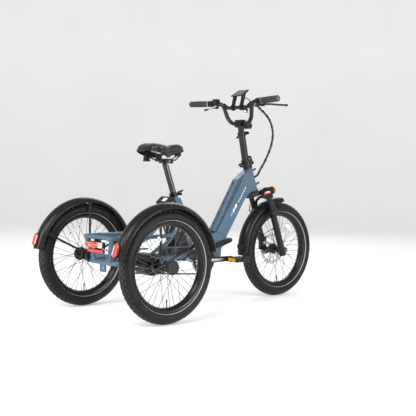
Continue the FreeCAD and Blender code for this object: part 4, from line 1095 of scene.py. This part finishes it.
def make_battery():
    """Battery case with ribs down its back, a plain label, its locks and its screws."""
    finish_node("battery_pack", PLASTIC, 0.003)
    finish_node("battery_dock", DOCK, 0.003)
    ribs = []
    for y in range(-30, 31, 12):
        low, high = at(304.4, y, 322), at(228, y, 528)
        ribs.append(tapered([low.lerp(high, index / 10) for index in range(11)], 0.002, 0.0004, 10))
    make_piece("battery_ribs", "frame", GLOSS_BLACK, ribs, angle=60)
    foot = at(224, 0, 538)
    slope = (at(262, 0, 568) - foot).normalized()
    out = Y.cross(-slope)
    corners = [foot + (slope * along + out * 0.1 + Y * y) / 1000
               for along, y in ((12, -26), (36, -26), (36, 4), (12, 4))]
    make_piece("battery_label", "frame", LABEL, [prism(corners, out * 0.0007)], bevel=0.0002)
    lock = [(0, 39.8), (9, 39.8), (9.4, 41.2), (7, 41.8), (3, 41.8), (2.4, 40.6), (0, 40.6)]
    fittings = [turned(lock, at(315, 0, 420), 32, Y * side) for side in SIDES]
    fittings += [bolt(at(x, side * 39.8, z), Y * side, 3.0)
                 for side in SIDES for x, z in ((270, 540), (285, 430), (345, 400))]
    make_piece("battery_fittings", "frame", SILVER, fittings, angle=30)


# The saddle's lines as stations: a distance ahead of the rear axle and a half width or a height.
SADDLE_HALF_WIDTH = ((116, 0), (117, 38), (123, 66), (136, 87), (150, 96), (164, 99), (192, 92),
                     (224, 66), (258, 43), (305, 32), (347, 26), (359, 17), (366, 0))
SADDLE_TOP = ((116, 812), (126, 823), (150, 830), (196, 828), (246, 822), (296, 826), (340, 829),
              (366, 814))
SADDLE_EDGE = ((116, 799), (140, 795), (176, 788), (206, 782), (240, 782), (280, 786), (320, 792),
               (366, 799))
SADDLE_SKIRT = ((116, 793), (140, 787), (172, 774), (204, 760), (232, 762), (270, 774),
                (310, 785), (366, 794))


def saddle_line(stations, x, soft=True):
    """The value at x on a line through the stations, straight or softened between them."""
    for (x0, low), (x1, high) in zip(stations, stations[1:]):
        if x0 <= x <= x1:
            share = (x - x0) / (x1 - x0)
            return low + (high - low) * (share * share * (3 - 2 * share) if soft else share)
    return stations[-1][1]


def saddle_width(x):
    return saddle_line(SADDLE_HALF_WIDTH, x, soft=False)


def saddle_form():
    """The cushion before it is inflated: closed rows of points across the saddle."""
    rows = []
    for x in (116.6, 119, 123, 129, 136, 144, 154, 164, 176, 190, 206, 222, 242, 264, 288, 312, 334,
              348, 358, 363, 365.6):
        half = max(saddle_width(x), 3.0) * 0.97
        middle = saddle_line(SADDLE_EDGE, x) + 5
        rise = saddle_line(SADDLE_TOP, x) - middle
        row = []
        for turn in turns(24):
            across, height = math.cos(turn), math.sin(turn)
            y = half * math.copysign(abs(across) ** 0.8, across)
            lift = rise * height ** 0.62 if height >= 0 else -3.5 * (-height) ** 0.5
            row.append(at(x, y, middle + lift))
        rows.append(row)
    return loft(rows)


def make_saddle_shell():
    """Shell under the cushion: a skirt that sweeps down at the thighs, hollow inside."""
    rows = []
    for x in (118, 120, 124, 130, 138, 148, 160, 174, 190, 206, 222, 240, 260, 282, 304, 326, 344,
              356, 362, 364.6):
        half = max(saddle_width(x) * 0.985, 4.0)
        rim, skirt = saddle_line(SADDLE_EDGE, x) + 2.5, saddle_line(SADDLE_SKIRT, x)
        section = [(1.0, rim), (1.0, (rim + skirt) / 2), (0.975, skirt + 1), (0.94, skirt),
                   (0.9, skirt + 1), (0.88, rim - 4), (0.4, rim - 4)]
        section += [(-share, z) for share, z in reversed(section)]
        rows.append([at(x, half * share, z) for share, z in section])
    nose = block((-0.010, -0.015, -0.014), (0.010, 0.015, 0.014), centre=at(332, 0, 784))
    make_piece("saddle_skirt", "seatpost", PLASTIC, [loft(rows), nose], angle=50, bevel=0.0008,
               replaces="saddle_shell")


def inflate(obj, limit):
    """Puffs a closed cushion with cloth pressure, moving no point further than limit."""
    remesh = obj.modifiers.new("voxels", "REMESH")
    remesh.mode = "VOXEL"
    remesh.voxel_size = 0.004
    bpy.context.view_layer.objects.active = obj
    obj.select_set(True)
    bpy.ops.object.modifier_apply(modifier=remesh.name)
    rest = [vertex.co.copy() for vertex in obj.data.vertices]
    cloth = obj.modifiers.new("cushion", "CLOTH")
    cloth.settings.use_pressure = True
    cloth.settings.uniform_pressure_force = 4.0
    cloth.settings.effector_weights.gravity = 0.0
    scene = bpy.context.scene
    for number in range(1, 21):
        scene.frame_set(number)
    shaped = obj.evaluated_get(bpy.context.evaluated_depsgraph_get())
    puffed = [vertex.co.copy() for vertex in shaped.data.vertices]
    obj.modifiers.remove(cloth)
    scene.frame_set(1)
    for vertex, start, end in zip(obj.data.vertices, rest, puffed):
        step = end - start
        if step.length > limit:
            step = step * (limit / step.length)
        vertex.co = start + step
    obj.select_set(False)
    soften = obj.modifiers.new("soften", "SMOOTH")
    soften.factor = 0.5
    soften.iterations = 6
    smooth = obj.modifiers.new("smooth", "SUBSURF")
    smooth.levels = smooth.render_levels = 1


def press_channel(mesh):
    """Presses a shallow channel into the cushion's crown, fading out at its two ends."""
    start, stop, crown_z = 122, 310, 0.805
    depth, half_width = 0.0055, 0.011
    for vertex in mesh.vertices:
        x = (vertex.co.x - REAR_AXLE_X) * 1000
        if vertex.co.z > crown_z and start < x < stop:
            reach = min(1.0, (x - start) / 30, (stop - x) / 60)
            vertex.co.z -= depth * reach * math.exp(-(vertex.co.y / half_width) ** 2)


def make_saddle():
    """Padded saddle with a centre channel, its shell, piping, elastomers and clamp bolts."""
    cushion = make_piece("saddle_cushion", "seatpost", VINYL, [saddle_form()], angle=180)
    inflate(cushion, 0.004)
    press_channel(cushion.data)
    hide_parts("saddle_cover")
    make_saddle_shell()
    finish_node("seatpost", POST_BLACK, 0.0012)
    finish_node("seat_lever", ALLOY_BLACK, 0.002)
    piping, springs = [], []
    for side in SIDES:
        line = [at(x, side * saddle_width(x) * 0.975, saddle_line(SADDLE_EDGE, x) + 2)
                for x in range(122, 361, 7)]
        piping.append(tapered(line, 0.002, 0.0008, 12))
        spring = [(6, 741), (17, 741.4), (19, 743), (19, 748), (17, 750), (13.5, 751)]
        for z in (752, 760, 768):
            spring += [(15.2, z), (17.2, z + 2), (17.2, z + 4), (15.2, z + 6), (13.2, z + 7)]
        spring += [(15, 777), (6, 778)]
        springs.append(turned(spring, at(172, side * 49, 0), 32, Z, closed=True))
    make_piece("saddle_piping", "seatpost", GLOSS_BLACK, piping, angle=60)
    make_piece("saddle_elastomers", "seatpost", HOSE, springs, angle=40)
    bolts = []
    for side in SIDES:
        head = at(257, side * 14, 731)
        bolts += [bolt(head, -Z, 4.5), rod(head, at(257, side * 14, 758), 0.0032, 12),
                  bolt(at(257, side * 26, 745), Y * side, 4.0)]
    make_piece("saddle_clamp_bolts", "seatpost", SILVER, bolts, angle=30)


# ---------------------------------------------------------------- fork and front brake

def make_fork():
    """Fork with its seals, crown rings and axle caps, the front caliper and the brake hose."""
    finish_node("fork_crown", BLACK, 0.0025)
    finish_node("fork_lowers", BLACK, 0.0018)
    finish_node("front_caliper", ALLOY_BLACK, 0.0015)
    finish_node("lockout_knob", RED_PAINT, 0.0015)
    seal = [(14.2, 0), (21, 0), (22, 2), (21, 4.4), (17, 5.5), (14.2, 5.5)]
    ring = [(15.7, 0), (17, 0.6), (17, 3.4), (15.7, 4)]
    cap = [(0, 71.6), (5, 71.6), (5.4, 73), (4.4, 74.6), (0, 74.8)]
    top_bolt = [(0, 0), (8, 0), (8.4, 1.5), (7, 3), (4, 3), (3.5, 1), (0, 1)]
    seals, trim, caps = [], [turned(top_bolt, steer_at(-92.5, 36, 70), 24, STEER_UP)], []
    for side in SIDES:
        seals += [turned(seal, steer_at(along, 36, side * 70), 40, STEER_UP, closed=True)
                  for along in (-198.5, -205)]
        trim += [turned(ring, steer_at(along, 36, side * 70), 40, STEER_UP, closed=True)
                 for along in (-103, -97)]
        caps.append(turned(cap, FRONT_AXLE, 32, Y * side))
    make_piece("fork_seals", "fork_lowers", HOSE, seals, angle=35)
    make_piece("crown_trim", "steerer", ALLOY_BLACK, trim, angle=35)
    make_piece("front_axle_caps", "fork_lowers", STRIPE_CYAN, caps, angle=30)
    adjuster = [(0, 20), (9.5, 20), (9.5, 30.8), (0, 30.8)]
    bolts = [turned(adjuster, at(990, 0, 300), 32)]
    for z in (276, 320):
        bolts += [bolt(at(991, 51, z), Y, 4.2), bolt(at(1004, 66, z), Y, 3.6)]
    make_piece("caliper_bolts", "fork_lowers", SILVER, bolts, angle=30)
    route = [at(988, 44, 335), at(984, 50, 356), at(974, 64, 384), at(952, 82, 432),
             at(934, 90, 480), at(930, 84, 512)]
    clip = [(2.6, -3), (4.4, -3), (4.4, 3), (2.6, 3)]
    rising = Vector((-0.35, 0.2, 0.9)).normalized()
    hose = [turned(clip, place, 20, rising, closed=True)
            for place in (at(973, 66, 388), at(935, 89, 478))]
    hose.append(tube(rounded_route(route, 0.06), 0.0025, 10))
    make_piece("front_brake_hose", "fork_lowers", HOSE, hose, angle=40)


# ---------------------------------------------------------------- riser and handlebar

def make_riser():
    """Folding riser: rings and screws round its joint, a collar, a height scale and bolts."""
    for name in ("stem_base", "riser_tube", "bar_clamp", "riser_lever"):
        finish_node(name, ALLOY_BLACK, 0.0018)
    finish_node("fold_latch", ALLOY_BLACK, 0.0015)
    ring = [(26, 0), (27.2, 0.8), (27.2, 3.2), (26, 4)]
    joint = [turned(ring, steer_at(along, 0), 56, STEER_UP, closed=True) for along in (75, 94)]
    for side in SIDES:
        joint.append(bolt(steer_at(100, -35, side * 20), Y * side, 5))
        joint.append(bolt(steer_at(88, 34, side * 15), Y * side, 4))
    make_piece("fold_joint_trim", "steerer", ALLOY_BLACK, joint, angle=35)
    collar = [(23, 0), (24, 0.7), (24, 3), (23, 3.6)]
    trim = [turned(collar, riser_at(along), 56, RISER_UP, closed=True) for along in (124, 143)]
    height_scale = [riser_at(20 + 95 * index / 8, 18.7) for index in range(9)]
    trim.append(tapered(height_scale, 0.0016, 0.0003, 8))
    make_piece("riser_trim", "riser", ALLOY_BLACK, trim, angle=35)
    bolts = [bolt(at(x, side * 16, 976), Z, 3.4) for side in SIDES for x in (752, 780)]
    make_piece("clamp_bolts", "handlebar", SILVER, bolts, angle=30)


def make_grips():
    """Ribbed rubber grips with a clamp ring at the inner end and a capped bar end."""
    shape = [(0, 0), (11.2, 0), (16.4, 0), (17.2, 2), (17.2, 6), (15.4, 8)]
    ribs = 22
    for index in range(ribs):
        start = 10 + index * 5
        low = 15.0 + 0.9 * math.sin((index + 1) / (ribs + 1) * math.pi)
        high = low + 0.9
        shape += [(low, start), (high, start + 1), (high, start + 3.4), (low, start + 4.4)]
    shape += [(15.6, 122), (16.4, 124), (16.4, 132), (14, 136.5), (0, 137)]
    ring = [(16.3, 1.6), (17.6, 2.4), (17.6, 5.6), (16.3, 6.4)]
    plug = [(7.6, 136.4), (8.2, 137.4), (7.6, 138.0), (6.4, 137.4), (6.4, 136.4)]
    sleeves, rings = [], []
    for side in SIDES:
        inner = grip_at(side * 205)
        axis = (grip_at(side * 337) - inner).normalized()
        sleeves.append(turned(shape, inner, 40, axis))
        rings += [turned(ring, inner, 40, axis, closed=True), turned(plug, inner, 32, axis, closed=True)]
    make_piece("grip_sleeves", "handlebar", GRIP, sleeves, angle=35, replaces="grips")
    make_piece("grip_rings", "handlebar", SILVER, rings, angle=30)


def make_display():
    """Display with a pale frame and, inside it, a pale raised pane."""
    finish_node("display", PLASTIC, 0.0015)
    start = at(726, 0, 1103)
    slope = Vector((60.6, 0, 35)).normalized()
    normal = Y.cross(-slope)
    panels = (("frame", 1, 69, 37, -0.2, 0.9, 0.0004), ("glass", 6, 64, 32, 0.5, 0.8, 0.0003))
    for word, low, high, half, lift, thick, bevel in panels:
        corners = [start + (slope * along + normal * lift + Y * y) / 1000
                   for along, y in ((low, -half), (high, -half), (high, half), (low, half))]
        make_piece("display_" + word, "handlebar", PALE, [prism(corners, normal * (thick / 1000))],
                   bevel=bevel)


def make_controls():
    """Bell, horn, parking latch and the screws and barrel adjusters of the brake levers."""
    finish_node("handlebar", ALLOY_BLACK)
    finish_node("control_pods", PLASTIC, 0.0014)
    finish_node("power_button", GRIP, 0.0008)
    finish_node("throttle_lever", PLASTIC, 0.0012)
    for _, word in NAMED_SIDES:
        finish_node("brake_lever_" + word, ALLOY_BLACK, 0.0012)
    dome = [(0, 1012), (13.5, 1012), (14.6, 1013), (14.6, 1016), (13.4, 1022), (10, 1027),
            (5, 1029.6), (0, 1030.2)]
    latch = [grip_at(150) + Vector((-0.006, 0, -0.012)), at(706, 158, 1046), at(686, 170, 1032)]
    make_piece("bell_and_latch", "handlebar", SILVER,
               [turned(dome, at(748, -58, 0), 40, Z), tube(rounded_route(latch, 0.02), 0.004, 12, 0.6)],
               angle=40)
    horn = [(0, -2), (15, -2), (17.6, 1), (17.6, 30), (16.2, 32), (17.8, 34), (17.8, 38),
            (13, 39.5), (12, 37), (0, 37)]
    start = at(800, 0, 946)
    axis = (at(838, 0, 948) - start).normalized()
    make_piece("horn_shell", "handlebar", PLASTIC, [turned(horn, start, 40, axis)], angle=35)
    screws = []
    for side, along in ((1, 187), (-1, 168)):
        middle = grip_at(side * along)
        adjuster = middle + Vector((0.022, -side * 0.012, -0.012))
        screws += [bolt(middle + Vector((0.034, 0, -0.003)), Z, 4.0),
                   bolt(middle + Vector((0.012, 0, 0.0155)), Z, 3.0),
                   rod(adjuster, adjuster + Vector((0.01, -side * 0.02, 0.001)), 0.0042, 14)]
    make_piece("control_screws", "handlebar", ALLOY_BLACK, screws, angle=30)


# ---------------------------------------------------------------- cable loop

CABLE_POINTS = [(762, -118, 1046), (800, -84, 1054), (846, -48, 1052), (894, -22, 1040),
                (940, -8, 1022), (982, -2, 994), (1009, 0, 956), (1020, 0, 910), (1013, 0, 862),
                (996, 0, 818), (973, 0, 778), (948, 0, 739), (921, 0, 707), (902, 0, 672)]


def smooth_line(points):
    """Points along the smooth NURBS line that has these control points."""
    curve = bpy.data.curves.new("route", "CURVE")
    curve.dimensions = "3D"
    spline = curve.splines.new("NURBS")
    spline.points.add(len(points) - 1)
    for target, point in zip(spline.points, points):
        target.co = (*point, 1)
    spline.order_u = 3
    spline.use_endpoint_u = True
    spline.resolution_u = 12
    carrier = bpy.data.objects.new("route", curve)
    bpy.context.scene.collection.objects.link(carrier)
    mesh = bpy.data.meshes.new_from_object(carrier)
    line = [vertex.co.copy() for vertex in mesh.vertices]
    bpy.data.objects.remove(carrier)
    bpy.data.meshes.remove(mesh)
    return line


def wound_line(line, reach, rounds, phase):
    """A line that winds round another at a constant distance."""
    wound = []
    for index, (point, (across, upward)) in enumerate(zip(line, cross_axes(line))):
        angle = phase + 2 * math.pi * rounds * index / (len(line) - 1)
        wound.append(point + (across * math.cos(angle) + upward * math.sin(angle)) * reach)
    return wound


def make_cable():
    """The wrapped bundle from the controls to the port in the head tube, cut into spans."""
    line = smooth_line([at(*point) for point in CABLE_POINTS] + [steer_at(6, 26)])
    cuts = [round(share * (len(line) - 1)) for share in (0, 0.34, 0.5, 0.74, 1)]
    tie = [(5.2, -2.5), (7.2, -2.5), (7.5, 0), (7.2, 2.5), (5.2, 2.5)]
    spans = (("upper", None), ("riser", ("handlebar", "riser")), ("stem", ("riser", "steerer")),
             ("lower", ("steerer", "frame")))
    for (word, bodies), first, last in zip(spans, cuts, cuts[1:]):
        span = line[first:last + 1]
        solids = [tube(span, 0.005, 16)]
        for strand in range(2):
            solids.append(tube(wound_line(span, 0.0036, 5, math.pi * strand), 0.0031, 8))
        for point, after in list(zip(span, span[1:]))[4:-4:12]:
            solids.append(turned(tie, point, 20, (after - point).normalized(), closed=True))
        piece = make_piece("cable_loop_" + word, None if bodies else "handlebar", HOSE, solids,
                           angle=60)
        if bodies:
            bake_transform(piece)
        else:
            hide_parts("cable_bundle")


def make_control_cables():
    """Thin cables that lead from both brake levers and the display to the bundle."""
    right = [grip_at(-152) + Vector((0.03, 0.01, -0.014)), at(772, -126, 1046), at(784, -104, 1050)]
    left = [grip_at(150) + Vector((0.02, 0, -0.006)), at(752, 112, 1054), at(754, 74, 1038),
            at(756, 0, 1034), at(756, -74, 1036), at(772, -104, 1046), at(800, -84, 1053)]
    display = [at(764, -12, 1098), at(784, -30, 1092), at(806, -52, 1066), at(822, -66, 1052)]
    cables = [tube(smooth_line(points), 0.0023, 10) for points in (right, left, display)]
    make_piece("control_cables", "handlebar", HOSE, cables)


# ---------------------------------------------------------------- studio

def area_light(name, place, target, size, watts):
    light = bpy.data.lights.new(name, "AREA")
    light.shape = "RECTANGLE"
    light.size, light.size_y = size
    light.energy = watts
    obj = bpy.data.objects.new(name, light)
    obj.location = place
    obj.rotation_mode = "QUATERNION"
    obj.rotation_quaternion = (Vector(target) - Vector(place)).to_track_quat("-Z", "Y")
    bpy.context.scene.collection.objects.link(obj)


def make_studio():
    """Pale floor that curves up into a wall all round, a pale sky and soft area lights."""
    reach, sweep, wall_top = 9000, 3000, 9000
    profile = [(0, 0), (reach, 0)]
    for degrees in range(10, 91, 10):
        turn = math.radians(degrees)
        profile.append((reach + sweep * math.sin(turn), sweep - sweep * math.cos(turn)))
    profile.append((reach + sweep, wall_top))
    make_object("studio_floor", [turned(profile, Vector((0, 0, 0)), 96, Z)],
                         backdrop("studio_white"))
    world = bpy.data.worlds.new("studio_sky")
    world.use_nodes = True
    world.node_tree.nodes["Background"].inputs["Color"].default_value = (1, 1, 1, 1)
    world.node_tree.nodes["Background"].inputs["Strength"].default_value = 0.42
    bpy.context.scene.world = world
    bpy.context.scene.view_settings.view_transform = "Standard"
    area_light("key", (-3.2, -1.2, 3.6), (0, 0, 0.5), (1.8, 1.8), 90)
    area_light("side", (-0.5, -4.2, 2.2), (0.1, 0, 0.5), (1.4, 1.4), 42)
    area_light("left_strip", (-3.0, 0.4, 1.2), (0, 0, 0.8), (0.3, 2.6), 60)
    area_light("right_strip", (0.8, -3.2, 1.2), (0, 0, 0.8), (0.3, 2.6), 60)
    area_light("rim", (2.6, 2.8, 3.0), (0, 0, 0.6), (2.2, 2.2), 45)


def make_camera():
    """Camera behind and to the right of the tricycle, a little lower than its saddle."""
    azimuth, elevation, roll = -0.7249, 0.0469, 0.0156
    back = Vector((math.sin(azimuth) * math.cos(elevation), -math.cos(azimuth) * math.cos(elevation),
                   math.sin(elevation)))
    level = Vector((math.cos(azimuth), math.sin(azimuth), 0))
    upright = back.cross(level)
    right = level * math.cos(roll) + upright * math.sin(roll)
    up = upright * math.cos(roll) - level * math.sin(roll)
    data = bpy.data.cameras.new("camera")
    data.lens = 73.37
    data.sensor_width = 36.0
    camera = bpy.data.objects.new("camera", data)
    turn = Matrix((right, up, back)).transposed()
    camera.matrix_world = Matrix.Translation((-2.9155, -3.3236, 0.7128)) @ turn.to_4x4()
    bpy.context.scene.collection.objects.link(camera)
    bpy.context.scene.camera = camera


make_camera()
make_cable()
make_control_cables()
make_wheels()
make_fenders()
make_frame()
make_tail_light()
make_headlight()
make_chain()
make_drive_unit()
make_cranks()
make_pedals()
make_battery()
make_saddle()
make_fork()
make_riser()
make_grips()
make_display()
make_controls()
make_studio()
